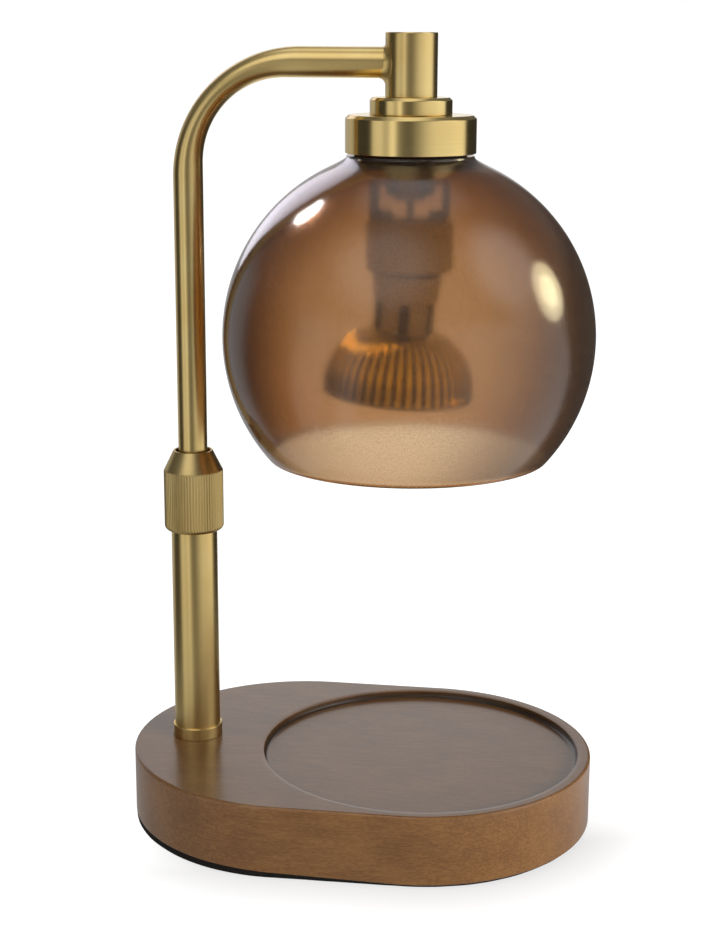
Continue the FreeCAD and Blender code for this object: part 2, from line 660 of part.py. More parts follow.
def arm_path(body, name, end):
    """Centre line from the lower end of the tube, round the bend, to the place called end."""
    sketch = new_sketch(body, name, "XZ_Plane")
    bend = dim.bend_radius
    low = FreeCAD.Vector(0, arm_end.number, 0)
    rise = FreeCAD.Vector(0, arm_z.number - bend.number, 0)
    level_start = FreeCAD.Vector(bend.number, arm_z.number, 0)
    level_end = FreeCAD.Vector(end.number, arm_z.number, 0)
    centre = FreeCAD.Vector(bend.number, arm_z.number - bend.number, 0)
    circle = Part.Circle(centre, FreeCAD.Vector(0, 0, 1), bend.number)
    sketch.addGeometry(Part.LineSegment(low, rise), False)
    sketch.addGeometry(Part.ArcOfCircle(circle, math.pi / 2, math.pi), False)
    sketch.addGeometry(Part.LineSegment(level_start, level_end), False)
    sketch.addConstraint(Sketcher.Constraint("PointOnObject", 0, 1, -2))
    sketch.addConstraint(Sketcher.Constraint("Vertical", 0))
    sketch.addConstraint(Sketcher.Constraint("Horizontal", 2))
    sketch.addConstraint(Sketcher.Constraint("Tangent", 0, 2, 1, 2))
    sketch.addConstraint(Sketcher.Constraint("Tangent", 1, 1, 2, 1))
    tie(sketch, "Radius", 1, size=bend)
    tie(sketch, "DistanceY", -1, 1, 0, 1, size=arm_end)
    tie(sketch, "DistanceX", -1, 1, 2, 2, size=end)
    tie(sketch, "DistanceY", -1, 1, 2, 2, size=arm_z)
    return sketch


def sweep(body, name, section, path):
    feature = body.newObject("PartDesign::AdditivePipe", name)
    feature.Profile = section
    feature.Spine = (path, [])
    return feature


def arm_tube():
    body = new_body("arm_tube", pole_x)
    end = dim.arm_reach - dim.cup_dia / 2 - dim.boss_length
    path = arm_path(body, "arm_centre_line", end)
    section = new_sketch(body, "arm_section", "XY_Plane", z=arm_end)
    draw_circle(section, dim.arm_dia)
    draw_circle(section, dim.arm_bore)
    sweep(body, "arm_wall", section, path)


def guide_bush():
    body = new_body("guide_bush", pole_x)
    outer = dim.pole_bore / 2 - dim.running_gap
    arm = dim.arm_dia / 2
    bore = dim.arm_bore / 2
    bottom = arm_end - dim.bush_lip
    turn(body, "guide_bush_sleeve", [
        (bore, bottom), (outer, bottom), (outer, bottom + dim.bush_length),
        (arm, bottom + dim.bush_length), (arm, arm_end), (bore, arm_end)])


def head_cup():
    """A turned cup, closed on top, with a side boss that carries the arm on into it."""
    body = new_body("head_cup", head_x)
    outer = dim.cup_dia / 2
    inner = outer - dim.cup_wall
    thread = dim.head_nipple_dia / 2
    top = arm_z + dim.cup_rise
    turn(body, "cup_wall_and_roof", [
        (nothing, cup_bottom), (outer, cup_bottom), (outer, top - dim.cup_chamfer),
        (outer - dim.cup_chamfer, top), (nothing, top)])
    boss = new_sketch(body, "boss_circle", "YZ_Plane", y=arm_z)
    draw_circle(boss, dim.arm_dia)
    add_feature(body, "Pad", "boss", boss, True, Length=outer + dim.boss_length)
    round_edges(body, "boss_fillet", "Fillet", dim.boss_round, lambda edge: (
        not isinstance(edge.Curve, (Part.Circle, Part.Line))
        and edge.BoundBox.XMax < 0))
    turn(body, "cup_hollow", [
        (nothing, cup_bottom + dim.cup_floor), (inner, cup_bottom + dim.cup_floor),
        (inner, top - dim.cup_roof), (nothing, top - dim.cup_roof)], kind="Groove")
    drill(body, "cup_thread", thread * 2, [(0, 0)], cup_bottom, dim.cup_floor, upwards=True)
    bore = new_sketch(body, "boss_bore_circle", "YZ_Plane", y=arm_z)
    draw_circle(bore, dim.arm_bore)
    add_feature(body, "Pocket", "boss_bore", bore, Length=outer + dim.boss_length)


def head_rings():
    hole = dim.head_nipple_dia / 2 + dim.nipple_hole_gap
    outer = dim.disc_dia / 2
    edge = dim.disc_chamfer
    body = new_body("neck_disc", head_x)
    turn(body, "neck_disc_ring", [
        (hole, cap_top_z), (outer, cap_top_z), (outer, cup_bottom - edge),
        (outer - edge, cup_bottom), (hole, cup_bottom)])
    outer = dim.cap_dia / 2
    edge = dim.cap_chamfer
    inner = outer - dim.cap_wall
    under = cap_top_z - dim.cap_top
    body = new_body("shade_cap", head_x)
    turn(body, "shade_cap_ring", [
        (inner, cap_bottom), (outer, cap_bottom), (outer, cap_top_z - edge),
        (outer - edge, cap_top_z), (hole, cap_top_z), (hole, under), (inner, under)])
    washer("shade_gasket", head_x, cap_bottom, dim.gasket_dia, hole * 2,
           dim.gasket_thickness)
    washer("shade_seal", head_x, seal_top, dim.seal_dia, hole * 2, dim.seal_thickness)
    washer("shade_washer", head_x, washer_top, dim.shade_washer_dia, hole * 2,
           dim.shade_washer_thickness)
    hex_nut("shade_nut", head_x, shade_nut_top, dim.shade_nut_width, dim.shade_nut_height,
            dim.head_nipple_dia)
    hex_nut("bracket_nut", head_x, bracket_nut_top, dim.shade_nut_width,
            dim.bracket_nut_height, dim.head_nipple_dia)
    body = new_body("head_nipple", head_x)
    top = cup_bottom + dim.cup_floor
    bore = dim.head_nipple_bore / 2
    thread = dim.head_nipple_dia / 2
    turn(body, "head_nipple_tube", [
        (bore, head_nipple_end), (thread, head_nipple_end), (thread, top), (bore, top)])


def glass_shade():
    """A blown globe, open below, with a flat crown and a short collar under the cap."""
    body = new_body("glass_shade", head_x)
    outer = dim.glass_dia / 2
    inner = outer - dim.glass_wall
    collar = dim.glass_collar / 2
    mouth = dim.glass_mouth / 2
    hole = dim.head_nipple_dia / 2 + dim.nipple_hole_gap
    rim_drop = root(outer * outer - mouth * mouth)
    rim = glass_centre - rim_drop
    crown_inside = seal_top - glass_centre
    shoulder = glass_top - dim.glass_collar_height
    rim_inner = root(inner * inner - rim_drop * rim_drop)
    crown_edge = root(inner * inner - crown_inside * crown_inside)
    turn(body, "globe", [
        (rim_inner, rim), (mouth, rim), (collar, shoulder), (collar, glass_top),
        (hole, glass_top), (hole, seal_top), (crown_edge, seal_top),
    ], {1: (nothing, glass_centre, outer, True), 6: (nothing, glass_centre, inner, False)})
    round_edges(body, "globe_rim", "Fillet", dim.glass_lip, lambda edge: level(edge, rim))


# ---- lamp holder

def screw_reach():
    """Distance of the bracket screws from the lamp axis: the middle of each foot, inside the leg."""
    return dim.bracket_span / 2 - (dim.bracket_strip + bracket_foot) / 2


def holder_bracket():
    """A strip bent into a bridge, with its feet turned inwards."""
    body = new_body("holder_bracket", head_x)
    sketch = new_sketch(body, "bracket_outline", "XZ_Plane")
    out = dim.bracket_span / 2
    side = out - dim.bracket_strip
    toe = out - bracket_foot
    foot = holder_top + dim.bracket_strip
    roof = bracket_nut_top
    draw_outline(sketch, [
        (-out, holder_top), (-toe, holder_top), (-toe, foot), (-side, foot), (-side, roof),
        (side, roof), (side, foot), (toe, foot), (toe, holder_top), (out, holder_top),
        (out, bracket_top), (-out, bracket_top)])
    strip = add_feature(body, "Pad", "bracket_bridge", sketch, Length=dim.bracket_depth)
    strip.Midplane = True
    round_edges(body, "bracket_bends", "Fillet", dim.bracket_strip, lambda edge: (
        isinstance(edge.Curve, Part.Line) and edge.BoundBox.YLength > 1
        and abs(abs(edge.BoundBox.XMax) - out.number) < 1e-4))
    drill(body, "nipple_hole", dim.head_nipple_dia + dim.nipple_hole_gap * 2, [(0, 0)],
          bracket_top, dim.bracket_strip)
    reach = screw_reach()
    drill(body, "foot_holes", dim.bracket_screw_dia + dim.nipple_hole_gap,
          [(reach, 0), (-reach, 0)], foot, dim.bracket_strip)


def bracket_screws():
    shank = dim.bracket_screw_dia.number / 2
    head = dim.bracket_screw_head.number / 2
    tall = dim.bracket_screw_head_height.number
    seat = holder_top.number + dim.bracket_strip.number
    length = dim.bracket_screw_length.number
    screws = []
    for side in (1, -1):
        middle = FreeCAD.Vector(head_x.number + side * screw_reach().number, 0, seat)
        top = Part.makeCylinder(head, tall, middle)
        top = top.makeFillet(0.4 * tall, [e for e in top.Edges if level(e, as_size(seat + tall))])
        down = Part.makeCylinder(shank, length, middle, FreeCAD.Vector(0, 0, -1))
        slot = Part.makeBox(2 * head, 0.8, 1.0, middle + FreeCAD.Vector(-head, -0.4, tall - 1.0))
        screws.append(top.fuse(down).cut(slot))
    whole_piece("bracket_screws", Part.makeCompound(screws))


def pin_radius():
    return dim.pin_circle / 2


def lamp_holder():
    """A ceramic GU10 holder. Each pin enters a round hole and turns along a slot, so that
    its head hooks behind the slot's wall."""
    body = new_body("lamp_holder", head_x)
    outer = dim.holder_dia / 2
    edge = dim.holder_chamfer
    turn(body, "holder_block", [
        (nothing, holder_face), (outer - edge, holder_face), (outer, holder_face + edge),
        (outer, holder_top - edge), (outer - edge, holder_top), (nothing, holder_top)])
    radius = pin_radius()
    behind = holder_face + dim.slot_floor
    narrow = dim.pin_dia / 2 + dim.pin_room
    wide = dim.pin_head_dia / 2 + dim.pin_room
    for name, half, low, high in (
            ("pin_slot", narrow, holder_face, behind),
            ("head_slot", wide, behind, behind + dim.slot_height)):
        slot = turn(body, name, [
            (radius - half, low), (radius + half, low), (radius + half, high),
            (radius - half, high)], kind="Groove")
        slot.setExpression("Angle", f"{dim.lock_angle.text} + 2 * asin("
                           f"{half.text} / {radius.text}) / 1 deg")
        slot.Midplane = True
        repeat_round(body, slot, name + "_pair", as_size(2))
    half_turn = dim.lock_angle / 2
    hole_x = radius * cosine(half_turn)
    hole_y = radius * sine(half_turn)
    drill(body, "entry_holes", wide * 2, [(hole_x, -hole_y), (-hole_x, hole_y)],
          holder_face, dim.slot_floor, upwards=True)
    reach = screw_reach()
    drill(body, "screw_holes", dim.bracket_screw_dia, [(reach, 0), (-reach, 0)],
          holder_top, dim.bracket_screw_length - dim.bracket_strip)
    wire = dim.wire_spacing / 2
    drill(body, "wire_holes", dim.wire_dia, [(nothing, wire), (nothing, -wire)], holder_top,
          dim.wire_seat)


def holder_contacts():
    """Two leaf contacts over the pin heads, each on a stem that is held by the ceramic."""
    width = dim.contact_width.number
    thick = dim.contact_thickness.number
    bottom = holder_face.number + dim.slot_floor.number + dim.slot_height.number - thick
    contacts = []
    for side in (1, -1):
        x = head_x.number + side * pin_radius().number
        corner = FreeCAD.Vector(x - width / 2, -width / 2, bottom)
        contacts.append(Part.makeBox(width, width, thick, corner))
    whole_piece("holder_contacts", Part.makeCompound(contacts))


def lamp_wires():
    radius = dim.wire_dia.number / 2
    bottom = holder_top.number - dim.wire_seat.number
    length = head_nipple_end.number + dim.head_nipple_drop.number - bottom
    sides = [side * dim.wire_spacing.number / 2 for side in (1, -1)]
    wires = [Part.makeCylinder(radius, length, FreeCAD.Vector(head_x.number, y, bottom))
             for y in sides]
    whole_piece("lamp_wires", Part.makeCompound(wires))


def lamp_lead():
    """The two-core lead: up the threaded tube, over into the arm, and down to its end."""
    bend = dim.bend_radius.number
    turn_in = dim.lead_bend.number
    start_z = head_nipple_end.number + dim.head_nipple_drop.number
    reach = dim.arm_reach.number
    z = arm_z.number
    diagonal = math.sqrt(0.5)
    points = [FreeCAD.Vector(x, 0, height) for x, height in (
        (reach, start_z),
        (reach, z - turn_in),
        (reach - turn_in * (1 - diagonal), z - turn_in * (1 - diagonal)),
        (reach - turn_in, z),
        (bend, z),
        (bend * (1 - diagonal), z - bend * (1 - diagonal)),
        (0, z - bend),
        (0, arm_end.number))]
    edges = [
        Part.LineSegment(points[0], points[1]).toShape(),
        Part.Arc(points[1], points[2], points[3]).toShape(),
        Part.LineSegment(points[3], points[4]).toShape(),
        Part.Arc(points[4], points[5], points[6]).toShape(),
        Part.LineSegment(points[6], points[7]).toShape()]
    path = Part.Wire(edges)
    ring = Part.makeCircle(dim.lead_dia.number / 2, points[0], FreeCAD.Vector(0, 0, 1))
    lead = path.makePipeShell([Part.Wire(ring)], True, True)
    piece = whole_piece("lamp_lead", lead)
    piece.Placement.Base = FreeCAD.Vector(pole_x.number, 0, 0)


# ---- reflector lamp

def bulb_base():
    body = new_body("bulb_base", head_x)
    wide = dim.lamp_base_dia / 2
    narrow = wide - dim.lamp_base_taper
    spigot = dim.lamp_spigot_dia / 2
    end = neck_top - dim.lamp_spigot_length
    turn(body, "bulb_base_block", [
        (nothing, end), (spigot, end), (spigot, neck_top), (narrow, neck_top),
        (wide, lamp_top), (nothing, lamp_top)])


def bulb_pins():
    radius = dim.pin_dia.number / 2
    head = dim.pin_head_dia.number / 2
    neck = dim.pin_length.number
    half_turn = math.radians(dim.lock_angle.number / 2)
    reach = pin_radius().number
    pins = []
    for side in (1, -1):
        place = FreeCAD.Vector(head_x.number + side * reach * math.cos(half_turn),
                               side * reach * math.sin(half_turn), lamp_top.number)
        stem = Part.makeCylinder(radius, neck, place)
        knob = Part.makeCylinder(head, dim.pin_head_height.number,
                                 place + FreeCAD.Vector(0, 0, neck))
        pins.append(stem.fuse(knob))
    whole_piece("bulb_pins", Part.makeCompound(pins))


def bulb_reflector():
    """A pressed glass bell with fluted back: each flute is a torus cut that follows the
    bell's curve from the rim to the neck."""
    body = new_body("bulb_reflector", head_x)
    rim = dim.lamp_dia / 2
    neck = dim.lamp_neck_dia / 2
    spigot = dim.lamp_spigot_dia / 2
    curve = dim.lamp_dome
    middle = rim - curve
    inner = curve - dim.lamp_wall
    inner_rim = rim - dim.lamp_wall
    neck_meets = root(curve * curve - (neck - middle) * (neck - middle)) + rim_top
    spigot_meets = root(inner * inner - (spigot - middle) * (spigot - middle)) + rim_top
    turn(body, "bell", [
        (inner_rim, rim_bottom), (rim, rim_bottom), (rim, rim_top), (neck, neck_meets),
        (neck, neck_top), (spigot, neck_top), (spigot, spigot_meets), (inner_rim, rim_top),
    ], {2: (middle, rim_top, curve, True), 6: (middle, rim_top, inner, False)})
    sketch = new_sketch(body, "flute_circle", "XY_Plane", z=rim_top)
    draw_circle(sketch, dim.flute_radius * 2, rim + dim.flute_radius * 0.35)
    start = FreeCAD.Vector(middle.number, -curve.number, 0)
    end = FreeCAD.Vector(middle.number, curve.number, 0)
    sketch.addGeometry(Part.LineSegment(start, end), True)
    sketch.addConstraint(Sketcher.Constraint("Symmetric", 1, 1, 1, 2, -1))
    tie(sketch, "DistanceX", -1, 1, 1, 1, size=middle)
    tie(sketch, "DistanceY", 1, 1, 1, 2, size=curve * 2)
    flute = body.newObject("PartDesign::Groove", "flute")
    flute.Profile = sketch
    flute.ReferenceAxis = (sketch, ["Axis0"])
    flute.setExpression("Angle", dim.flute_sweep.text)
    flute.Reversed = True
    repeat_round(body, flute, "flutes", dim.flute_count)


def bulb_lens_and_capsule():
    body = new_body("bulb_lens", head_x)
    bottom = rim_bottom + dim.lens_inset
    sketch = new_sketch(body, "lens_circle", "XY_Plane", z=bottom)
    draw_circle(sketch, dim.lamp_dia - dim.lamp_wall * 2)
    add_feature(body, "Pad", "lens_disc", sketch, Length=dim.lens_thickness)
    body = new_body("bulb_capsule", head_x)
    radius = dim.capsule_dia / 2
    top = neck_top - dim.lamp_spigot_length
    tip = top - dim.capsule_length
    turn(body, "capsule", [
        (nothing, tip), (radius, tip + radius), (radius, top), (nothing, top),
    ], {0: (nothing, tip + radius, radius, True)})


# ---- build, check and write

for build_piece in (wood_base, base_pad, ballast_plate, ballast_screws, cord_bushing,
                    pole_parts, lock_nut, collet, arm_tube, guide_bush, head_cup,
                    head_rings, glass_shade, holder_bracket, bracket_screws, lamp_holder,
                    holder_contacts, lamp_wires, lamp_lead, bulb_base, bulb_pins,
                    bulb_reflector, bulb_lens_and_capsule):
    build_piece()
doc.recompute()

failed = [item.Name for item in doc.Objects
          if "Invalid" in item.State or "Error" in item.State]
if failed:
    raise RuntimeError("objects that failed: " + ", ".join(failed))
pieces = [item for item in doc.Objects
          if item.TypeId in ("PartDesign::Body", "Part::Feature")]
os.makedirs("parts", exist_ok=True)
for piece in pieces:
    if piece.Shape.isNull() or not piece.Shape.isValid():
        raise RuntimeError("bad shape: " + piece.Label)
for piece in pieces:
    piece.Shape.exportStep(os.path.join("parts", piece.Label + ".step"))
    print(f"{piece.Label}: {len(piece.Shape.Solids)} solids, {piece.Shape.Volume:.1f} mm3")
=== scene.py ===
import math

import bmesh
import bpy
import numpy as np
from mathutils import Euler, Matrix, Vector


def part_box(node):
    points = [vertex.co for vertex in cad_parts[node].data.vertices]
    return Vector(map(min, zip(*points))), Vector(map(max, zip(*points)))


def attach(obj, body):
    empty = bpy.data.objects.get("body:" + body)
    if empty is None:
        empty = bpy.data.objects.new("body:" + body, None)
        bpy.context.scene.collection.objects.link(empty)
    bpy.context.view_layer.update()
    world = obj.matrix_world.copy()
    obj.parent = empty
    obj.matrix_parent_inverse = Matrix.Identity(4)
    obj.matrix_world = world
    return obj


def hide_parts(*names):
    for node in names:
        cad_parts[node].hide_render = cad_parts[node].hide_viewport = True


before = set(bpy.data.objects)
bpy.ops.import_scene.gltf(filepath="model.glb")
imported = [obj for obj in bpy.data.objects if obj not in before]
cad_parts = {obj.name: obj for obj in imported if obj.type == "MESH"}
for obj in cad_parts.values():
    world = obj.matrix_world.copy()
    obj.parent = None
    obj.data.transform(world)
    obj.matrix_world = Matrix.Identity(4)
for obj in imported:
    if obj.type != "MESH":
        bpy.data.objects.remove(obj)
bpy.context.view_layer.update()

# Candle warmer lamp: wooden base, telescopic brass pole, smoked glass globe, reflector lamp.
# Every length below is in metres; mm turns a size written in millimetres into metres.
mm = 0.001
turn = 2 * math.pi


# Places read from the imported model

def nodeBox(node):
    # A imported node's lowest and highest corners at rest.
    low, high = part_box(node)
    return np.array(low), np.array(high)


def halfWidth(node):
    # Half of a node's size along x, which is the radius of a turned one.
    low, high = nodeBox(node)
    return (high - low)[0] / 2


poleLow, poleHigh = nodeBox("pole_tube")
capLow, capHigh = nodeBox("shade_cap")
baseLow, baseHigh = nodeBox("wood_base")
poleAxis = (poleLow + poleHigh)[:2] / 2
headAxis = (capLow + capHigh)[:2] / 2
baseTop = baseHigh[2]


# Mesh making

def gridMesh(name, points, closeRows, closeColumns):
    # Quads between the points of a grid. Rows run along the profile and columns around it;
    # either may close on itself. The UV map brushing holds millimetres along and around.
    rows, columns = points.shape[:2]
    index = np.arange(rows * columns).reshape(rows, columns)
    nextRow = np.roll(index, -1, axis=0)
    nextColumn = np.roll(index, -1, axis=1)
    opposite = np.roll(nextRow, -1, axis=1)
    quads = np.stack([index, nextColumn, opposite, nextRow], axis=-1)
    rowSpan = rows if closeRows else rows - 1
    columnSpan = columns if closeColumns else columns - 1
    quads = quads[:rowSpan, :columnSpan].reshape(-1, 4)

    mesh = bpy.data.meshes.new(name)
    mesh.vertices.add(rows * columns)
    mesh.vertices.foreach_set("co", points.astype(np.float32).ravel())
    mesh.loops.add(quads.size)
    mesh.loops.foreach_set("vertex_index", quads.astype(np.int32).ravel())
    mesh.polygons.add(len(quads))
    mesh.polygons.foreach_set("loop_start", np.arange(0, quads.size, 4, dtype=np.int32))
    mesh.polygons.foreach_set("loop_total", np.full(len(quads), 4, dtype=np.int32))

    loop = np.concatenate([points, points[:1]], axis=0)
    steps = np.linalg.norm(np.diff(loop, axis=0), axis=2).mean(axis=1) / mm
    along = np.concatenate([[0], np.cumsum(steps)])
    around = np.linspace(0, 1, columns + 1) * 100
    row = np.arange(rowSpan)[:, None]
    column = np.arange(columnSpan)[None, :]
    cornerU = np.stack(np.broadcast_arrays(
        along[row], along[row], along[row + 1], along[row + 1]), axis=-1)
    cornerU = np.broadcast_to(cornerU, (rowSpan, columnSpan, 4))
    cornerV = np.stack(np.broadcast_arrays(
        around[column], around[column + 1], around[column + 1], around[column]), axis=-1)
    cornerV = np.broadcast_to(cornerV, (rowSpan, columnSpan, 4))
    brushing = mesh.uv_layers.new(name="brushing")
    corners = np.stack([cornerU, cornerV], axis=-1)
    brushing.data.foreach_set("uv", corners.astype(np.float32).ravel())
    mesh.update()
    return mesh


def finishMesh(mesh, sharpDegrees=35):
    # Merges doubled points, turns every face outwards and marks the sharp edges.
    work = bmesh.new()
    work.from_mesh(mesh)
    bmesh.ops.remove_doubles(work, verts=work.verts, dist=1e-7)
    bmesh.ops.recalc_face_normals(work, faces=work.faces)
    work.to_mesh(mesh)
    work.free()
    mesh.polygons.foreach_set("use_smooth", np.ones(len(mesh.polygons), dtype=bool))
    mesh.set_sharp_from_angle(angle=math.radians(sharpDegrees))
    mesh.update()
    return mesh


def addPiece(name, mesh, body, replaced, slot, *materials):
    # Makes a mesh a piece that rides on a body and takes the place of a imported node.
    piece = bpy.data.objects.new(name, mesh)
    bpy.context.scene.collection.objects.link(piece)
    for material in materials:
        mesh.materials.append(material)
    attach(piece, body)
    if replaced:
        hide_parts(replaced)
    return piece


def roundedProfile(corners, radii, closed=True, steps=5):
    # Rounds each corner of a profile with an arc whose centre is on the corner's bisector,
    # and keeps a short straight run beside each arc so that the flats stay flat.
    corner = np.array(corners, float)
    radius = np.broadcast_to(np.array(radii, float), len(corner))[:, None]
    toBefore = np.roll(corner, 1, axis=0) - corner
    toAfter = np.roll(corner, -1, axis=0) - corner
    toBefore /= np.linalg.norm(toBefore, axis=1, keepdims=True)
    toAfter /= np.linalg.norm(toAfter, axis=1, keepdims=True)
    cosine = np.clip((toBefore * toAfter).sum(axis=1, keepdims=True), -1, 1)
    half = np.arccos(cosine) / 2
    back = radius / np.tan(half)
    bisector = toBefore + toAfter
    bisector /= np.linalg.norm(bisector, axis=1, keepdims=True)
    centre = corner + bisector * radius / np.sin(half)
    first = corner + toBefore * back - centre
    last = corner + toAfter * back - centre
    start = np.arctan2(first[:, 1], first[:, 0])
    sweep = np.arctan2(last[:, 1], last[:, 0]) - start
    sweep = (sweep + math.pi) % turn - math.pi
    angle = start[:, None] + sweep[:, None] * np.linspace(0, 1, steps + 1)
    arc = centre[:, None] + radius[:, None] * np.stack([np.cos(angle), np.sin(angle)], axis=-1)
    hold = back + radius * 0.4
    leadIn = (corner + toBefore * hold)[:, None]
    leadOut = (corner + toAfter * hold)[:, None]
    runs = np.concatenate([leadIn, arc, leadOut], axis=1)
    if closed:
        return runs.reshape(-1, 2)
    return np.concatenate([corner[:1], runs[1:-1].reshape(-1, 2), corner[-1:]])


def ringAngles(columns):
    # Even steps round the axis, from the back.
    return np.linspace(0, turn, columns, endpoint=False) + math.pi / 2


def wrappedMesh(name, radius, height, axis, closed=True, sharpDegrees=35):
    # A grid of radii carried round a vertical axis: a row for each height.
    angle = ringAngles(radius.shape[1])
    x = axis[0] + radius * np.cos(angle)
    y = axis[1] + radius * np.sin(angle)
    z = np.broadcast_to(height[:, None], x.shape)
    return finishMesh(gridMesh(name, np.stack([x, y, z], axis=-1), closed, True), sharpDegrees)


def turnedMesh(name, profile, axis, columns=192, closed=True):
    # Profile points (radius, height) carried round a vertical axis.
    radius = np.broadcast_to(profile[:, :1], (len(profile), columns))
    return wrappedMesh(name, radius, profile[:, 1], axis, closed)


def ringProfile(inner, outer, low, high, radii):
    # The four corners of a ring's section, anticlockwise from inside below.
    corners = [(inner, low), (outer, low), (outer, high), (inner, high)]
    return roundedProfile(corners, radii)


# Materials

def colour(text):
    # An sRGB hex colour as linear red, green, blue and alpha.
    value = np.array([int(text[i:i + 2], 16) for i in (1, 3, 5)]) / 255
    linear = np.where(value <= 0.04045, value / 12.92, ((value + 0.055) / 1.055) ** 2.4)
    return (*linear, 1.0)


def addNode(tree, kind, inputs=(), stops=(), **settings):
    # Adds a node, sets its properties and fills or links its inputs, which come in order or by
    # name; a node among them gives its first output. Stops are a ramp's places and colours.
    node = tree.nodes.new("ShaderNode" + kind)
    for key, value in settings.items():
        setattr(node, key, value)
    pairs = inputs.items() if isinstance(inputs, dict) else enumerate(inputs)
    for key, value in pairs:
        if isinstance(value, bpy.types.Node):
            value = value.outputs[0]
        if isinstance(value, bpy.types.NodeSocket):
            tree.links.new(value, node.inputs[key])
        else:
            node.inputs[key].default_value = value
    if stops:
        elements = node.color_ramp.elements
        while len(elements) < len(stops):
            elements.new(0.5)
        for element, (place, tone) in zip(elements, stops):
            element.position = place
            element.color = colour(tone)
    return node


def newMaterial(name):
    # An empty material and its node tree.
    material = bpy.data.materials.new(name)
    material.use_nodes = True
    tree = material.node_tree
    tree.nodes.clear()
    return material, tree


brass = {
    "light": "#e8cf8e", "dark": "#dfc07c",
    "lineSpacing": 0.3,   # mm; the real brush lines are finer, drawn as coarse as they show
}


def satinBrass(name, roughness, anisotropic, lineDepth, lineTone, tones=brass):
    # Brass tube or turning, brushed round its axis and lacquered: the fine rings stretch
    # each reflection along the piece, so that it shows as soft lengthwise bands.
    material, tree = newMaterial(name)
    rings = addNode(tree, "UVMap", uv_map="brushing")
    across = addNode(tree, "VectorMath", [rings, (1 / brass["lineSpacing"], 0.02, 0)],
                     operation="MULTIPLY")
    lines = addNode(tree, "TexNoise", {
        "Vector": across, "Scale": 1.0, "Detail": 3.0, "Roughness": 0.7},
        noise_dimensions="2D")
    place = addNode(tree, "TexCoord").outputs["Object"]
    cloud = addNode(tree, "TexNoise", {"Vector": place, "Scale": 0.05 / mm, "Detail": 3.0})
    tone = addNode(tree, "Mix", {0: lineTone, 2: cloud, 3: lines})
    surface = addNode(tree, "BsdfPrincipled", {
        "Base Color": addNode(tree, "ValToRGB", [tone], [
            (0.3, tones["dark"]), (0.7, tones["light"])]),
        "Metallic": 1.0,
        "Roughness": addNode(tree, "MapRange", [lines, 0.3, 0.7, *roughness]),
        "Anisotropic": anisotropic,
        "Tangent": addNode(tree, "Tangent", direction_type="UV_MAP", uv_map="brushing"),
        "Normal": addNode(tree, "Bump", {
            "Height": lines, "Strength": 0.5, "Distance": lineDepth * mm})})
    addNode(tree, "OutputMaterial", [surface])
    return material


base = {
    "columns": 480, "topRound": 0.9 * mm, "bottomRound": 0.5 * mm,
    "seatRadius": 55.0 * mm, "seatDepth": 2.4 * mm, "seatCorner": 1.2 * mm,
    "seatLip": 0.35 * mm, "eased": (0.18 * mm, 1.5 * mm),   # how deep and how wide
    "padInset": (0.0, 1.1 * mm), "padRipple": 0.12 * mm,
    "channel": 4.0 * mm,       # half the width of the channel for the lead
    "channelStep": 1.5 * mm,   # the lead channel is this much shallower than the pocket
    "cordHole": 4.3 * mm, "nippleRoom": 0.2 * mm, "washerRoom": 1.0 * mm, "spare": 0.5 * mm,
    "padSpread": (-35 * mm, 20 * mm), "padLift": (0.7 * mm, -0.35 * mm),
}
base["radius"] = (baseHigh[1] - baseLow[1]) / 2
base["shift"] = (baseHigh[0] - baseLow[0]) / 2 - base["radius"]
seatMiddle = (base["shift"], 0, baseTop - base["seatDepth"])
wood = {
    "tones": [(0.41, "#674525"), (0.5, "#714d2a"), (0.59, "#7c5730")],
    # Waves per millimetre along x, y and z, the noise's detail and its distortion.
    "grain": ((0.10, 0.7, 1.2), 4.0, 0.4), "pores": ((0.5, 1.9, 2.2), 2.0, 0.0),
    "mottle": ((0.05, 0.08, 0.08), 2.0, 0.0),
    "seatWallShade": 0.12,   # painted shade: what the seat's milled wall keeps of its colour
}


def lacqueredWood():
    # Hardwood, sanded, stained brown and sprayed with satin lacquer: a low-contrast grain
    # under a soft sheen that mirrors the surroundings only at a glance.
    material, tree = newMaterial("lacquered_wood")
    place = addNode(tree, "TexCoord").outputs["Object"]
    patterns = []
    for waves, detail, distortion in (wood["grain"], wood["pores"], wood["mottle"]):
        scaled = addNode(tree, "Mapping", {"Vector": place, "Scale": Vector(waves) / mm})
        patterns.append(addNode(tree, "TexNoise", {
            "Vector": scaled, "Scale": 1.0, "Detail": detail, "Distortion": distortion}))
    grain, pores, mottle = patterns
    fine = addNode(tree, "Mix", {0: 0.6, 2: grain, 3: pores})
    both = addNode(tree, "Mix", {0: 0.3, 2: fine, 3: mottle})
    stainAndShade = addNode(tree, "ValToRGB", [both], wood["tones"])
    # Painted shade: the wood is drawn much darker in a narrow band on the seat's milled wall.
    away = addNode(tree, "VectorMath", [place, seatMiddle], operation="SUBTRACT")
    reach = addNode(tree, "VectorMath", [away], operation="LENGTH").outputs["Value"]
    wall = base["seatRadius"] - 0.5 * mm
    fromWall = addNode(tree, "Math", [
        addNode(tree, "Math", [reach, wall], operation="SUBTRACT")], operation="ABSOLUTE")
    seatWallShade = addNode(tree, "MapRange", [fromWall, 0.45 * mm, 0.9 * mm, wood["seatWallShade"], 1.0])
    stainAndShade = addNode(tree, "VectorMath", {0: stainAndShade, 3: seatWallShade}, operation="SCALE")
    surface = addNode(tree, "BsdfPrincipled", {
        "Base Color": stainAndShade,
        "Roughness": addNode(tree, "MapRange", [pores, 0.3, 0.7, 0.45, 0.55]),
        "Specular IOR Level": 0.12, "Coat Weight": 0.95, "Coat Roughness": 0.22,
        "Coat IOR": 1.5, "Normal": addNode(tree, "Bump", {
            "Height": pores, "Strength": 0.15, "Distance": 0.03 * mm})})
    addNode(tree, "OutputMaterial", [surface])
    return material


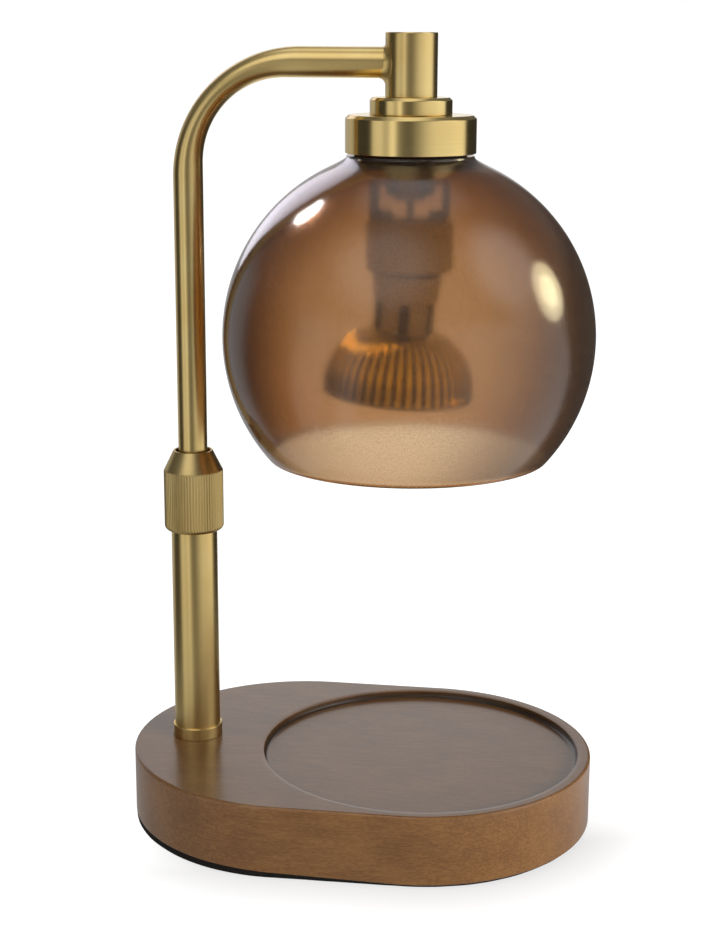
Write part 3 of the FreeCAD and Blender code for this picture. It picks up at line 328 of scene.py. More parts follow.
def foamSheet():
    # Closed-cell foam sheet, die-cut: black, with half-millimetre cells that kill every
    # reflection.
    material, tree = newMaterial("foam_sheet")
    place = addNode(tree, "TexCoord").outputs["Object"]
    cells = addNode(tree, "TexVoronoi", {"Vector": place, "Scale": 1 / (0.5 * mm)})
    surface = addNode(tree, "BsdfPrincipled", {
        "Base Color": addNode(tree, "ValToRGB", [cells], [(0.0, "#0d0c0b"), (0.8, "#1f1d1b")]),
        "Roughness": 0.9, "Specular IOR Level": 0.2,
        "Normal": addNode(tree, "Bump", {
            "Height": cells, "Strength": 0.5, "Distance": 0.1 * mm})})
    addNode(tree, "OutputMaterial", [surface])
    return material


shadeGlass = {
    "body": "#e7ba50", "density": 480,   # per metre: how fast the wall takes light
    "haze": "#b39a84", "outerRoughness": (0.10, 0.14), "innerRoughness": (0.12, 0.17),
    "outerHaze": 0.025, "innerHaze": 0.015, "flakeShare": 0.3,
    "grain": [(0.32, "#e4e4e4"), (0.6, "#ffffff")],
    # Painted shade towards the silhouette: the more obliquely the wall is seen, the darker
    # and browner it is drawn; what it turns white light to, from square on (0) to edge on (1).
    "edgeShadeShare": (0.25, 1.0), "edgeShadeFrom": (-40 * mm, -12 * mm),   # it is weaker near the mouth
    "edgeShade": [(0.0, "#ffffff"), (0.1, "#fffffc"), (0.215, "#f1ede7"),
             (0.34, "#d1c5b8"), (0.46, "#b5a493"), (0.57, "#978473"),
             (0.69, "#766555"), (1.0, "#594b3f")],
    "speckle": 2.3,   # grains per mm; the real frost is finer, drawn as it shows
}


def smokedGlass(centre, middleRadius):
    # Blown soda-lime glass, amber brown through its wall, with a fine pearl frost: satin
    # highlights outside, and inside a grain that shows the lamp behind as a soft shape.
    material, tree = newMaterial("smoked_glass")
    place = addNode(tree, "TexCoord").outputs["Object"]
    perMetre = shadeGlass["speckle"] / mm
    grains = addNode(tree, "TexNoise", {
        "Vector": place, "Scale": perMetre, "Detail": 1.0, "Roughness": 0.4})
    away = addNode(tree, "VectorMath", [place, centre], operation="SUBTRACT")
    reach = addNode(tree, "VectorMath", [away], operation="LENGTH").outputs["Value"]
    inside = addNode(tree, "Math", [reach, middleRadius], operation="LESS_THAN")
    roughness = addNode(tree, "Mix", {
        0: inside,
        2: addNode(tree, "MapRange", [grains, 0.3, 0.7, *shadeGlass["outerRoughness"]]),
        3: addNode(tree, "MapRange", [grains, 0.3, 0.7, *shadeGlass["innerRoughness"]])})
    haze = addNode(tree, "Mix", {
        0: inside, 2: shadeGlass["outerHaze"], 3: shadeGlass["innerHaze"]})
    uneven = addNode(tree, "MapRange", [grains, 0.3, 0.7, 0.5, 1.5])
    share = addNode(tree, "Math", [haze, uneven], operation="MULTIPLY")
    # Here and there a flake of the frost catches the light.
    flakes = addNode(tree, "TexNoise", {
        "Vector": place, "Scale": 1.3 * perMetre, "Detail": 0.0})
    lit = addNode(tree, "MapRange", [flakes, 0.68, 0.8, 0.0, shadeGlass["flakeShare"]])
    share = addNode(tree, "Math", [share, lit], operation="ADD")
    grain = addNode(tree, "ValToRGB", [grains], shadeGlass["grain"])
    # Painted shade: the glass is drawn darker towards its silhouette, less near the mouth.
    slant = addNode(tree, "LayerWeight", {"Blend": 0.5}).outputs["Facing"]
    height = addNode(tree, "SeparateXYZ", [away]).outputs["Z"]
    edgeShade = addNode(tree, "Mix", {
        "Factor": addNode(tree, "MapRange", [
            height, *shadeGlass["edgeShadeFrom"], *shadeGlass["edgeShadeShare"]]),
        6: colour("#ffffff"), 7: addNode(tree, "ValToRGB", [slant], shadeGlass["edgeShade"])},
        data_type="RGBA").outputs[2]
    bump = addNode(tree, "Bump", {
        "Height": grains, "Strength": 0.2, "Distance": 0.04 * mm})
    surface = addNode(tree, "BsdfPrincipled", {
        "Base Color": addNode(tree, "VectorMath", [grain, edgeShade], operation="MULTIPLY"),
        "Roughness": roughness, "IOR": 1.5, "Transmission Weight": 1.0, "Normal": bump})
    pearl = addNode(tree, "BsdfDiffuse", {"Color": colour(shadeGlass["haze"]), "Normal": bump})
    addNode(tree, "OutputMaterial", {
        "Surface": addNode(tree, "MixShader", [share, surface, pearl]),
        "Volume": addNode(tree, "VolumeAbsorption", {
            "Color": colour(shadeGlass["body"]), "Density": shadeGlass["density"]})})
    return material


def clearGlass(name, tint, roughness):
    # Pressed or drawn clear glass, fire-polished: only its edges and highlights show.
    material, tree = newMaterial(name)
    place = addNode(tree, "TexCoord").outputs["Object"]
    waves = addNode(tree, "TexNoise", {"Vector": place, "Scale": 0.3 / mm, "Detail": 1.0})
    surface = addNode(tree, "BsdfPrincipled", {
        "Base Color": colour(tint), "Roughness": roughness, "IOR": 1.5,
        "Transmission Weight": 1.0, "Normal": addNode(tree, "Bump", {
            "Height": waves, "Strength": 0.1, "Distance": 0.1 * mm})})
    addNode(tree, "OutputMaterial", [surface])
    return material


def dichroicGlass(flutes):
    # Pressed glass with an evaporated mirror coat: old gold on the ribs, and painted shade that
    # darkens it in the valleys, with a clear glass gloss over it that gives a white glint.
    material, tree = newMaterial("dichroic_glass")
    place = addNode(tree, "TexCoord").outputs["Object"]
    cloud = addNode(tree, "TexNoise", {"Vector": place, "Scale": 0.15 / mm, "Detail": 2.0})
    wrapped = addNode(tree, "UVMap", uv_map="brushing")
    around = addNode(tree, "SeparateXYZ", [wrapped]).outputs["Y"]
    turns = addNode(tree, "Math", [around, flutes / 100], operation="MULTIPLY")
    across = addNode(tree, "Math", [turns], operation="FRACT")
    # The ramp runs across each flute: gold on the rib, painted shade in the valley.
    surface = addNode(tree, "BsdfPrincipled", {
        "Base Color": addNode(tree, "ValToRGB", [across], [
            (0.0, "#f2dc4a"), (0.2, "#e8c436"), (0.36, "#50390c"), (0.5, "#241804"),
            (0.64, "#50390c"), (0.8, "#e8c436"), (1.0, "#f2dc4a")]),
        "Metallic": 1.0, "Roughness": 0.16, "Coat Weight": 0.6, "Coat Roughness": 0.1,
        "Normal": addNode(tree, "Bump", {
            "Height": cloud, "Strength": 0.1, "Distance": 0.1 * mm})})
    addNode(tree, "OutputMaterial", [surface])
    return material


def plainFinish(name, dark, light, roughness, metallic=0.0):
    # A cast, moulded or plated surface with a fine uneven tone, in grains of 1.25 mm.
    material, tree = newMaterial(name)
    place = addNode(tree, "TexCoord").outputs["Object"]
    grains = addNode(tree, "TexNoise", {"Vector": place, "Scale": 1 / (1.25 * mm), "Detail": 3.0})
    surface = addNode(tree, "BsdfPrincipled", {
        "Base Color": addNode(tree, "ValToRGB", [grains], [(0.35, dark), (0.65, light)]),
        "Metallic": metallic, "Roughness": addNode(tree, "MapRange", [
            grains, 0.3, 0.7, roughness - 0.06, roughness + 0.06]),
        "Normal": addNode(tree, "Bump", {
            "Height": grains, "Strength": 0.3, "Distance": 0.02 * mm})})
    addNode(tree, "OutputMaterial", [surface])
    return material


# The depth of the brush lines is in millimetres.
brassTube = satinBrass("brushed_brass_tube", roughness=(0.28, 0.34), anisotropic=0.6,
                       lineDepth=0.0006, lineTone=0.15)
# Turned on the lathe and left brighter, with plainer rings.
brassTurned = satinBrass("turned_brass", roughness=(0.15, 0.22), anisotropic=0.5,
                         lineDepth=0.0015, lineTone=0.4)
# Knurled: the grooves break the bands up and dull it; painted shade makes its colour darker.
brassKnurledShaded = satinBrass("knurled_brass", roughness=(0.30, 0.36), anisotropic=0.3,
                          lineDepth=0.0008, lineTone=0.2,
                          tones={"light": "#d0b97f", "dark": "#c5a96d"})
woodFinish = lacqueredWood()
foamFinish = foamSheet()
# Painted shade in the grooves of the lamp's neck: dull dark brown-grey.
grooveShadeFinish = plainFinish("pressed_cement", "#3a3024", "#4e4434", 0.7)
lensFinish = clearGlass("clear_pressed_glass", "#f4f4ee", 0.05)
# Glass ground flat at the lip: a pale, dull line.
lipFinish = plainFinish("ground_glass_edge", "#a9a598", "#cfcabb", 0.4)
capsuleFinish = clearGlass("quartz_glass", "#f8f8f8", 0.02)
# Steel, cold-formed and zinc-plated: grey with a faint crystalline tone.
zincFinish = plainFinish("zinc_plated_steel", "#8c8a86", "#b4b2ac", 0.35, metallic=1.0)
# Steatite, pressed and fired without glaze: matt ivory.
ceramicFinish = plainFinish("fired_steatite", "#bbab84", "#c8b992", 0.6)
# Nylon, injection-moulded: black with a dull shine.
nylonFinish = plainFinish("moulded_nylon", "#121110", "#1c1a18", 0.45)
# Rubber, moulded and punched: matt black.
rubberFinish = plainFinish("punched_rubber", "#15110e", "#221c18", 0.75)
# Phosphor bronze, stamped: warm metal.
bronzeFinish = plainFinish("stamped_bronze", "#a5794a", "#c69762", 0.3, metallic=1.0)
# Silicone sleeving, extruded: soft off-white.
sleeveFinish = plainFinish("extruded_silicone", "#c9c4b6", "#dad5c8", 0.55)
print("materials ready")


# Camera and stage

# The place and the film are in millimetres, the angles in radians, the rest in pixels.
camera = {
    "place": (90.9, -590.8, 270.1), "yaw": -0.1526, "pitch": 0.2351, "roll": 0.0045,
    "focal": 1800, "frameHeight": 926, "edgeShade": 36.0,
}


def addCamera():
    # Looks along +Y, turned by yaw, tipped down by pitch and rolled.
    data = bpy.data.cameras.new("camera")
    data.sensor_width = camera["edgeShade"]
    data.lens = camera["focal"] / camera["frameHeight"] * camera["edgeShade"]
    data.clip_start = 0.01
    data.clip_end = 50
    eye = bpy.data.objects.new("camera", data)
    bpy.context.scene.collection.objects.link(eye)
    eye.location = Vector(camera["place"]) * mm
    aim = Euler((0, 0, -camera["yaw"])).to_matrix()
    tip = Euler((math.pi / 2 - camera["pitch"], 0, 0)).to_matrix()
    roll = Euler((0, 0, camera["roll"])).to_matrix()
    eye.rotation_euler = (aim @ tip @ roll).to_euler()
    bpy.context.scene.camera = eye


# The studio as mirrors see it: soft boxes, gaps and black flags round the table. Each entry
# is an angle from the front, to the right, in degrees, and how bright the studio is there.
studioCards = [
    (-180, 1.0), (-168, 0.6), (-150, 0.45), (-130, 0.5), (-119, 0.3), (-107, 0.06),
    (-82, 0.05), (-74, 0.2), (-66, 0.75), (-54, 0.8), (-46, 0.55), (-38, 0.8),
    (-32, 1.05), (-26, 0.6), (-18, 0.25), (-4, 0.15), (5, 0.25), (17, 0.46), (30, 0.72),
    (46, 0.9), (70, 0.97), (92, 1.07), (102, 1.0), (109, 0.38), (116, 0.05),
    (150, 0.04), (164, 0.06), (173, 1.0), (180, 1.0)]
studio = {
    "front": -0.1526,       # the front of the set, turned with the camera's yaw
    "fill": (1.35, 0.05), "fillTop": 0.5,   # what matt surfaces get, level and from overhead
    "cardTop": (0.12, 0.35),   # the cards end at these heights, as sines of the elevation
    "above": 0.95, "overhead": 0.6, "dark": 0.15,   # above the cards: through glass, mirrored
}
# Soft boxes in the studio, with edges that fade: where each stands, its half width and half
# height as sines, its level and its colour.
softBoxes = [
    {"at": (-0.15, 0.86, 0.46), "size": (0.34, 0.36), "level": 0.85, "colour": "#ffffff"},
    {"at": (-0.52, 0.76, 0.38), "size": (0.21, 0.36), "level": 1.1, "colour": "#f6f2ff"},
    {"at": (-0.03, 0.20, 0.97), "size": (0.46, 0.48), "level": 1.0, "colour": "#ffffff"},
    {"at": (-0.16, -0.62, 0.75), "size": (0.58, 0.58), "level": 1.15, "colour": "#ffffff"},
    {"at": (0.80, -0.05, 0.60), "size": (0.50, 0.50), "level": 1.7, "colour": "#ffffff"},
]
softEdge = (1.0, 0.4)   # a box fades in between these shares of its half width and height
# Lamps that only the shade and the reflector lamp catch, as highlights: where each
# stands, its radius and how much taller it is than wide, its brightness, and whether it
# shows through the glass.
glints = [
    {"at": (-0.65, 0.39, 0.655), "radius": 0.20, "tall": 1.0, "power": 14.0,
     "colour": "#ffffff", "through": True},
    {"at": (0.91, 0.30, 0.29), "radius": 0.24, "tall": 1.0, "power": 10.0,
     "colour": "#fff0c0", "through": False},
    {"at": (0.91, 0.30, 0.29), "radius": 0.42, "tall": 1.0, "power": 15.0,
     "colour": "#fff0c0", "through": False},
    {"at": (-0.52, 0.76, 0.38), "radius": 0.46, "tall": 1.6, "power": 7.0,
     "colour": "#f6f2ff", "through": False},
]
glintDistance = 2.0   # metres from the shade's middle
# What the glass shows behind it: the white paper straight back, and the dark room beside it.
behindCards = [
    (-180, 1.0), (-174, 0.85), (-168, 0.45), (-160, 0.22), (-140, 0.25), (-100, 0.25),
    (-30, 0.5), (30, 0.8), (100, 0.6), (150, 0.05), (160, 0.14), (166, 0.45), (171, 0.85),
    (176, 1.05), (180, 1.05)]


def studioLevel(tree, direction, cardList):
    # How bright the studio is in a direction: the direction is turned to the front, its
    # angle round the vertical is looked up on the curve of cards.
    turned = addNode(tree, "VectorRotate", {
        "Vector": direction, "Angle": studio["front"]}, rotation_type="Z_AXIS")
    parts = addNode(tree, "SeparateXYZ", [turned]).outputs
    back = addNode(tree, "Math", [parts["Y"], -1.0], operation="MULTIPLY")
    angle = addNode(tree, "Math", [parts["X"], back], operation="ARCTAN2")
    place = addNode(tree, "MapRange", [angle, -math.pi, math.pi])
    cards = addNode(tree, "FloatCurve", {"Value": place})
    cards.mapping.use_clip = False
    curve = cards.mapping.curves[0]
    for angleDegrees, level in cardList[1:-1]:
        curve.points.new((angleDegrees + 180) / 360, level)
    curve.points[0].location = (0.0, cardList[0][1])
    curve.points[-1].location = (1.0, cardList[-1][1])
    for point in curve.points:
        point.handle_type = "AUTO_CLAMPED"
    cards.mapping.update()
    return cards


floorLook = {
    "halfSize": 20.0, "paper": "#adadad",   # half its side in metres, and its own colour
    # Mirrors see this level near the base, and between near and far it becomes the studio's.
    "mirrored": 0.35, "near": 80 * mm, "far": 240 * mm,
    # Through the glass the paper dims between two distances, from one level to the other.
    "glassFrom": (0.5, 1.0), "glassLevel": (1.0, 0.76),
    "clear": 1.0, "shaded": 0.6,   # what the eye sees outside the shadow and in it
    # How far the shadow reaches, how it starts in front of the base's middle, and its side.
    "shadowWidth": 36 * mm, "shadowFrom": (8 * mm, 42 * mm), "shadowSide": (0.35, -1.0, 0.0),
}


def contactShadow(tree, place):
    # A soft contact shadow in front and to the right of the base, 1 at its fullest: it fades
    # with the distance from the base's outline, two half circles at plus and minus shift.
    spot = addNode(tree, "SeparateXYZ", [place]).outputs
    sideways = addNode(tree, "Math", [spot["X"]], operation="ABSOLUTE")
    outward = addNode(tree, "Math", [sideways, base["shift"]], operation="SUBTRACT")
    beyond = addNode(tree, "Math", [outward, 0.0], operation="MAXIMUM")
    offset = addNode(tree, "CombineXYZ", [beyond, spot["Y"]])
    reach = addNode(tree, "VectorMath", [offset], operation="LENGTH").outputs["Value"]
    fade = addNode(tree, "MapRange", [
        reach, base["radius"], base["radius"] + floorLook["shadowWidth"], 1.0, 0.0])
    forward = addNode(tree, "VectorMath", [place, floorLook["shadowSide"]],
                      operation="DOT_PRODUCT").outputs["Value"]
    ahead = addNode(tree, "MapRange", [forward, *floorLook["shadowFrom"]])
    return addNode(tree, "Math", [fade, ahead], operation="MULTIPLY")


def addFloor():
    # White paper sweep: its own colour, with enough glow for the eye, mirrors and glass
    # that it clears to white and keeps the lamp's shadow.
    side = floorLook["halfSize"]
    corners = np.array([[[-side, -side, 0], [side, -side, 0]], [[-side, side, 0], [side, side, 0]]])
    mesh = gridMesh("paper_floor", corners, False, False)
    material, tree = newMaterial("paper_sweep")
    place = addNode(tree, "TexCoord").outputs["Object"]
    rays = addNode(tree, "LightPath").outputs
    byGlass = rays["Is Transmission Ray"]
    byMirror = addNode(tree, "Math", [rays["Is Glossy Ray"], byGlass], operation="MAXIMUM")
    middle = (*((poleAxis + headAxis) / 2), 0)
    away = addNode(tree, "VectorMath", [place, middle], operation="SUBTRACT")
    reach = addNode(tree, "VectorMath", [away], operation="LENGTH").outputs["Value"]
    far = addNode(tree, "MapRange", [reach, floorLook["near"], floorLook["far"]],
                  interpolation_type="SMOOTHSTEP")
    mirrored = addNode(tree, "Mix", {
        0: far, 2: floorLook["mirrored"], 3: studioLevel(tree, away, studioCards)})
    # Through the glass the paper is white near the lamp and falls away behind it.
    behind = addNode(tree, "MapRange", [
        reach, *floorLook["glassFrom"], *floorLook["glassLevel"]])
    through = addNode(tree, "Math", [studioLevel(tree, away, behindCards), behind],
                      operation="MULTIPLY")
    level = addNode(tree, "Mix", {0: byGlass, 2: mirrored, 3: through})
    level = addNode(tree, "Math", [level, byMirror], operation="MULTIPLY")
    # The eye sees a painted contact shadow in the paper's glow, over the shadow the lamps cast.
    seen = addNode(tree, "MapRange", [
        contactShadow(tree, place), 0.0, 1.0, floorLook["clear"], floorLook["shaded"]])
    glow = addNode(tree, "Emission", {
        "Strength": addNode(tree, "Mix", {0: rays["Is Camera Ray"], 2: level, 3: seen})})
    # Only eyes and matt surfaces see the paper itself, or mirrors would count it twice.
    share = addNode(tree, "Math", [1.0, byMirror], operation="SUBTRACT")
    dark = addNode(tree, "Emission", {"Strength": 0.0})
    paper = addNode(tree, "BsdfDiffuse", {"Color": colour(floorLook["paper"])})
    matt = addNode(tree, "MixShader", [share, dark, paper])
    addNode(tree, "OutputMaterial", [addNode(tree, "AddShader", [matt, glow])])
    mesh.materials.append(material)
    floor = bpy.data.objects.new("paper_floor", mesh)
    bpy.context.scene.collection.objects.link(floor)


def boxShare(tree, direction, box):
    # How much of a soft box a direction meets: its distance from the box's middle, measured
    # in half widths and half heights, fades the box from its middle to its edge.
    toward = Vector(box["at"]).normalized()
    across = toward.cross(Vector((0, 0, 1))).normalized()
    axes = [across / box["size"][0], across.cross(toward) / box["size"][1], toward]
    sideways, upward, ahead = [
        addNode(tree, "VectorMath", [direction, axis], operation="DOT_PRODUCT").outputs["Value"]
        for axis in axes]
    offset = addNode(tree, "CombineXYZ", [sideways, upward])
    away = addNode(tree, "VectorMath", [offset], operation="LENGTH").outputs["Value"]
    share = addNode(tree, "MapRange", [away, *softEdge], interpolation_type="SMOOTHSTEP")
    facing = addNode(tree, "Math", [ahead, 0.0], operation="GREATER_THAN")
    return addNode(tree, "Math", [share, facing], operation="MULTIPLY")


def addWorld():
    # The studio's walls and ceiling: white for the eye, an even fill for matt surfaces, the
    # cards for mirrors and glass, and the soft boxes for mirrors alone.
    world = bpy.data.worlds.new("studio")
    bpy.context.scene.world = world
    world.use_nodes = True
    world.cycles.sampling_method = "NONE"
    tree = world.node_tree
    tree.nodes.clear()
    direction = addNode(tree, "TexCoord").outputs["Generated"]
    rays = addNode(tree, "LightPath").outputs
    byGlass = rays["Is Transmission Ray"]
    byMirror = addNode(tree, "Math", [rays["Is Glossy Ray"], byGlass], operation="MAXIMUM")
    height = addNode(tree, "SeparateXYZ", [direction]).outputs["Z"]
    high = addNode(tree, "MapRange", [height, *studio["cardTop"]],
                   interpolation_type="SMOOTHSTEP")
    overhead = addNode(tree, "MapRange", [
        height, studio["cardTop"][1], 1.0, studio["above"], studio["overhead"]])
    low = addNode(tree, "Mix", {0: byGlass, 2: studioLevel(tree, direction, studioCards),
                                3: studioLevel(tree, direction, behindCards)})
    top = addNode(tree, "Mix", {0: byGlass, 2: studio["dark"], 3: overhead})
    cards = addNode(tree, "Mix", {0: high, 2: low, 3: top})
    fill = addNode(tree, "MapRange", [height, 0.0, studio["fillTop"], *studio["fill"]])
    lit = addNode(tree, "Mix", {0: byMirror, 2: fill, 3: cards})
    strength = addNode(tree, "Mix", {0: rays["Is Camera Ray"], 2: lit, 3: 1.0})
    total = addNode(tree, "Background", [colour("#ffffff"), strength])
    # Glass doesn't show the soft boxes.
    shown = addNode(tree, "Mix", {0: byGlass, 2: byMirror, 3: 0.0})
    for box in softBoxes:
        share = addNode(tree, "Math", [boxShare(tree, direction, box), shown],
                        operation="MULTIPLY")
        level = addNode(tree, "Math", [share, box["level"]], operation="MULTIPLY")
        glow = addNode(tree, "Background", [colour(box["colour"]), level])
        total = addNode(tree, "AddShader", [total, glow])
    addNode(tree, "OutputWorld", [total])


# Large boxes in front light what is matt and aren't mirrored.
frontBoxes = [
    {"from": (0.88, -0.47, 0.10), "distance": 1.4, "size": 0.9, "power": 32.0},
    {"from": (-0.85, -0.50, 0.06), "distance": 1.4, "size": 0.9, "power": 11.0},
]


def aimedLamp(name, direction, distance, size, power):
    # An area lamp in a direction from the shade's middle, at a distance and turned towards it.
    data = bpy.data.lights.new(name, "AREA")
    data.size = size
    data.energy = power
    lamp = bpy.data.objects.new(name, data)
    bpy.context.scene.collection.objects.link(lamp)
    toward = Vector(direction).normalized()
    middle = Vector((headAxis[0], headAxis[1], capLow[2] - 60 * mm))
    lamp.location = middle + toward * distance
    lamp.rotation_euler = toward.to_track_quat("Z", "Y").to_euler()
    lamp.visible_camera = False
    return lamp


def addFrontBoxes():
    # Square lamps that neither mirrors nor glass show.
    for box in frontBoxes:
        lamp = aimedLamp("front_box", box["from"], box["distance"], box["size"], box["power"])
        lamp.visible_glossy = False
        lamp.visible_transmission = False


def addGlints():
    # Elliptical lamps; returns the collection of what they light, which is filled once the
    # pieces are made.
    lit = bpy.data.collections.new("lit_by_glints")
    for glint in glints:
        lamp = aimedLamp("glint", glint["at"], glintDistance, 2 * glint["radius"],
                         glint["power"])
        lamp.data.shape = "ELLIPSE"
        lamp.data.size_y = lamp.data.size * glint["tall"]
        lamp.data.color = colour(glint["colour"])[:3]
        lamp.visible_transmission = glint["through"]
        lamp.light_linking.receiver_collection = lit
    return lit


addCamera()
addFloor()
addWorld()
addFrontBoxes()
litByGlints = addGlints()
bpy.context.scene.view_settings.view_transform = "Standard"
print("camera, floor and lamps ready")


# Wooden base

def baseOutline():
    # Points on the base's outline along rays from the seat's centre, and the outward normals.
    # The outline is two half circles at plus and minus shift, joined by straight sides.
    radius = base["radius"]
    shift = base["shift"]
    angle = ringAngles(base["columns"])
    ray = np.stack([np.cos(angle), np.sin(angle)], axis=-1)
    alongGap = 2 * shift * ray[:, 0]
    reach = np.sqrt(alongGap ** 2 - (4 * shift ** 2 - radius ** 2)) - alongGap
    straight = radius / np.maximum(np.abs(ray[:, 1]), 1e-9)
    onRight = ray[:, 0] >= 0
    onStraight = ~onRight & (shift + straight * ray[:, 0] >= -shift)
    reach = np.where(onRight, radius, np.where(onStraight, straight, reach))
    edge = np.array([shift, 0]) + ray * reach[:, None]
    fromLeft = (edge - np.array([-shift, 0])) / radius
    upright = np.stack([np.zeros_like(angle), np.sign(ray[:, 1])], axis=-1)
    normal = np.where(onRight[:, None], ray, np.where(onStraight[:, None], upright, fromLeft))
    return ray, edge, normal


def padShare(x):
    # 0 at the left and 1 at the right: the pad is thick and flush on the left, thin and set
    # back on the right.
    low, high = base["padSpread"]
    return np.clip((x - low) / (high - low), 0, 1)


def padLift(x):
    # How far the pad's top and the wood's lower edge are raised at the left, and lowered at
    # the right, with an even slope between.
    low, high = base["padLift"]
    return low + (high - low) * padShare(x)


def arcPoints(centre, radius, startDegrees, endDegrees, steps=7):
    # Points on a circle from one angle to another.
    angle = np.radians(np.linspace(startDegrees, endDegrees, steps))
    return np.array(centre) + radius * np.stack([np.cos(angle), np.sin(angle)], axis=-1)


def seatRows(ray):
    # Circles of the seat, from its centre over the floor, fillet and wall to the lip.
    floorZ = baseTop - base["seatDepth"]
    corner, lip, wall = base["seatCorner"], base["seatLip"], base["seatRadius"]
    flat = np.linspace(0, wall - corner - 0.3 * mm, 12)
    # Sanding has eased the board down towards the lip.
    drop, wide = base["eased"]
    share = np.linspace(0, 1, 7)
    eased = np.stack([wall + lip + wide * share, baseTop - drop * (1 - share) ** 2], axis=-1)
    profile = np.concatenate([
        np.stack([flat, np.full_like(flat, floorZ)], axis=-1),
        arcPoints((wall - corner, floorZ + corner), corner, -90, 0),
        arcPoints((wall + lip, baseTop - drop - lip), lip, 180, 105), eased])
    x = base["shift"] + profile[:, :1] * ray[:, 0]
    y = profile[:, :1] * ray[:, 1]
    z = np.broadcast_to(profile[:, 1:], x.shape)
    return np.stack([x, y, z], axis=-1)


def outlineRows(edge, normal, insets, heights):
    # A row round the outline for each height, moved inwards along its normals by the inset.
    flat = edge[None] - normal[None] * np.array(insets)[:, None, None]
    height = np.broadcast_to(np.array(heights)[:, None, None], flat.shape[:2] + (1,))
    return np.concatenate([flat, height], axis=-1)


def between(first, last, shares):
    # Rows on the straight line from a first row to a last one, at each share of the way.
    share = np.array(shares)[:, None, None]
    return first[None] * (1 - share) + last[None] * share


def prismMesh(name, outline, low, high):
    # A flat-ended block over a closed outline that is star-shaped about its middle.
    middle = np.broadcast_to(outline.mean(axis=0), outline.shape)
    flat = np.stack([middle, outline, outline, middle])
    height = np.array([low, low, high, high])[:, None, None]
    points = np.concatenate([flat, np.broadcast_to(height, flat.shape[:2] + (1,))], axis=-1)
    return finishMesh(gridMesh(name, points, False, True))


def stadium(x0, x1, y, radius, steps=48):
    # Two half circles of one radius with their centres at x0 and x1.
    angle = np.radians(np.linspace(-90, 90, steps))
    right = np.stack([x1 + radius * np.cos(angle), y + radius * np.sin(angle)], axis=-1)
    left = np.stack([x0 - radius * np.cos(angle), y - radius * np.sin(angle)], axis=-1)
    return np.concatenate([right, left])


def cutAway(piece, meshes):
    # Subtracts closed meshes from a piece and keeps the result as its mesh.
    cutters = [bpy.data.objects.new(mesh.name, mesh) for mesh in meshes]
    for cutter in cutters:
        bpy.context.scene.collection.objects.link(cutter)
        cut = piece.modifiers.new(cutter.name, "BOOLEAN")
        cut.object = cutter
        cut.operation = "DIFFERENCE"
        cut.solver = "EXACT"
    scene = bpy.context.evaluated_depsgraph_get()
    whole = bpy.data.meshes.new_from_object(piece.evaluated_get(scene))
    piece.modifiers.clear()
    piece.data = whole
    for cutter in cutters:
        bpy.data.objects.remove(cutter)


def makeBase():
    # One skin from the seat's centre over the lip, the top, the side and back underneath to
    # the centre, less the pockets and holes.
    ray, edge, normal = baseOutline()
    seat = seatRows(ray)
    top, bottom = base["topRound"], base["bottomRound"]
    low = baseLow[2]
    topEdge = outlineRows(edge, normal, [top + 0.3 * mm], [baseTop])[0]
    face = between(seat[-1], topEdge, np.linspace(0, 1, 14)[1:])
    upper = arcPoints((top, baseTop - top), top, 90, 180)
    lower = arcPoints((bottom, low + bottom), bottom, 180, 270)
    side = np.linspace(baseTop - top - 0.5 * mm, low + bottom + 0.5 * mm, 9)
    around = outlineRows(
        edge, normal,
        np.concatenate([upper[:, 0], np.zeros_like(side), lower[:, 0]]),
        np.concatenate([upper[:, 1], side, lower[:, 1]]))
    lowRows = np.arange(len(around)) >= len(around) - len(lower) - 1
    around[..., 2] += lowRows[:, None] * padLift(edge[:, 0])
    middle = np.broadcast_to(np.array([base["shift"], 0, low]), edge.shape[:1] + (3,))
    underside = between(around[-1], middle, [0.02, 0.25, 0.5, 0.75, 1])
    points = np.concatenate([seat, face, around, underside])
    mesh = finishMesh(gridMesh("woodBase", points, False, True))
    piece = addPiece("woodBase", mesh, "base", "wood_base", "wood", woodFinish)

    # Pockets in the underside and the holes for the pole and the cord.
    bushLow, bushHigh = nodeBox("cord_bushing")
    weightLow, weightHigh = nodeBox("ballast_plate")
    washerLow, washerHigh = nodeBox("pole_washer")
    bushX = (bushLow[0] + bushHigh[0]) / 2
    bushZ = (bushLow[2] + bushHigh[2]) / 2
    spare, channel, cordRadius = base["spare"], base["channel"], base["cordHole"]
    below = low - spare
    weightX = (weightLow[0] + weightHigh[0]) / 2
    weightRadius = halfWidth("ballast_plate") + spare
    wiringRadius = halfWidth("pole_washer") + base["washerRoom"]
    holeRadius = halfWidth("foot_nipple") + base["nippleRoom"]
    reach = 4 * cordRadius
    cordHole = turnedMesh("cordHole", np.array([
        (0, -reach), (cordRadius, -reach), (cordRadius, reach), (0, reach)]),
        (0, 0), columns=64, closed=False)
    cordHole.transform(
        Matrix.Translation((bushX, bushHigh[1] - cordRadius * 3, bushZ))
        @ Matrix.Rotation(math.pi / 2, 4, "X"))
    wiring = stadium(poleAxis[0], bushX + channel - wiringRadius, 0, wiringRadius)
    lead = stadium(0, bushLow[1], 0, channel)[:, ::-1] + np.array([bushX, 0])
    weight = stadium(weightX, weightX, 0, weightRadius)
    hole = stadium(poleAxis[0], poleAxis[0], 0, holeRadius)
    cutAway(piece, [
        prismMesh("wiringPocket", wiring, below, washerHigh[2]),
        prismMesh("leadChannel", lead, below, washerHigh[2] - base["channelStep"]),
        prismMesh("weightPocket", weight, below, weightHigh[2]),
        prismMesh("poleHole", hole, washerLow[2], baseTop + spare),
        cordHole])


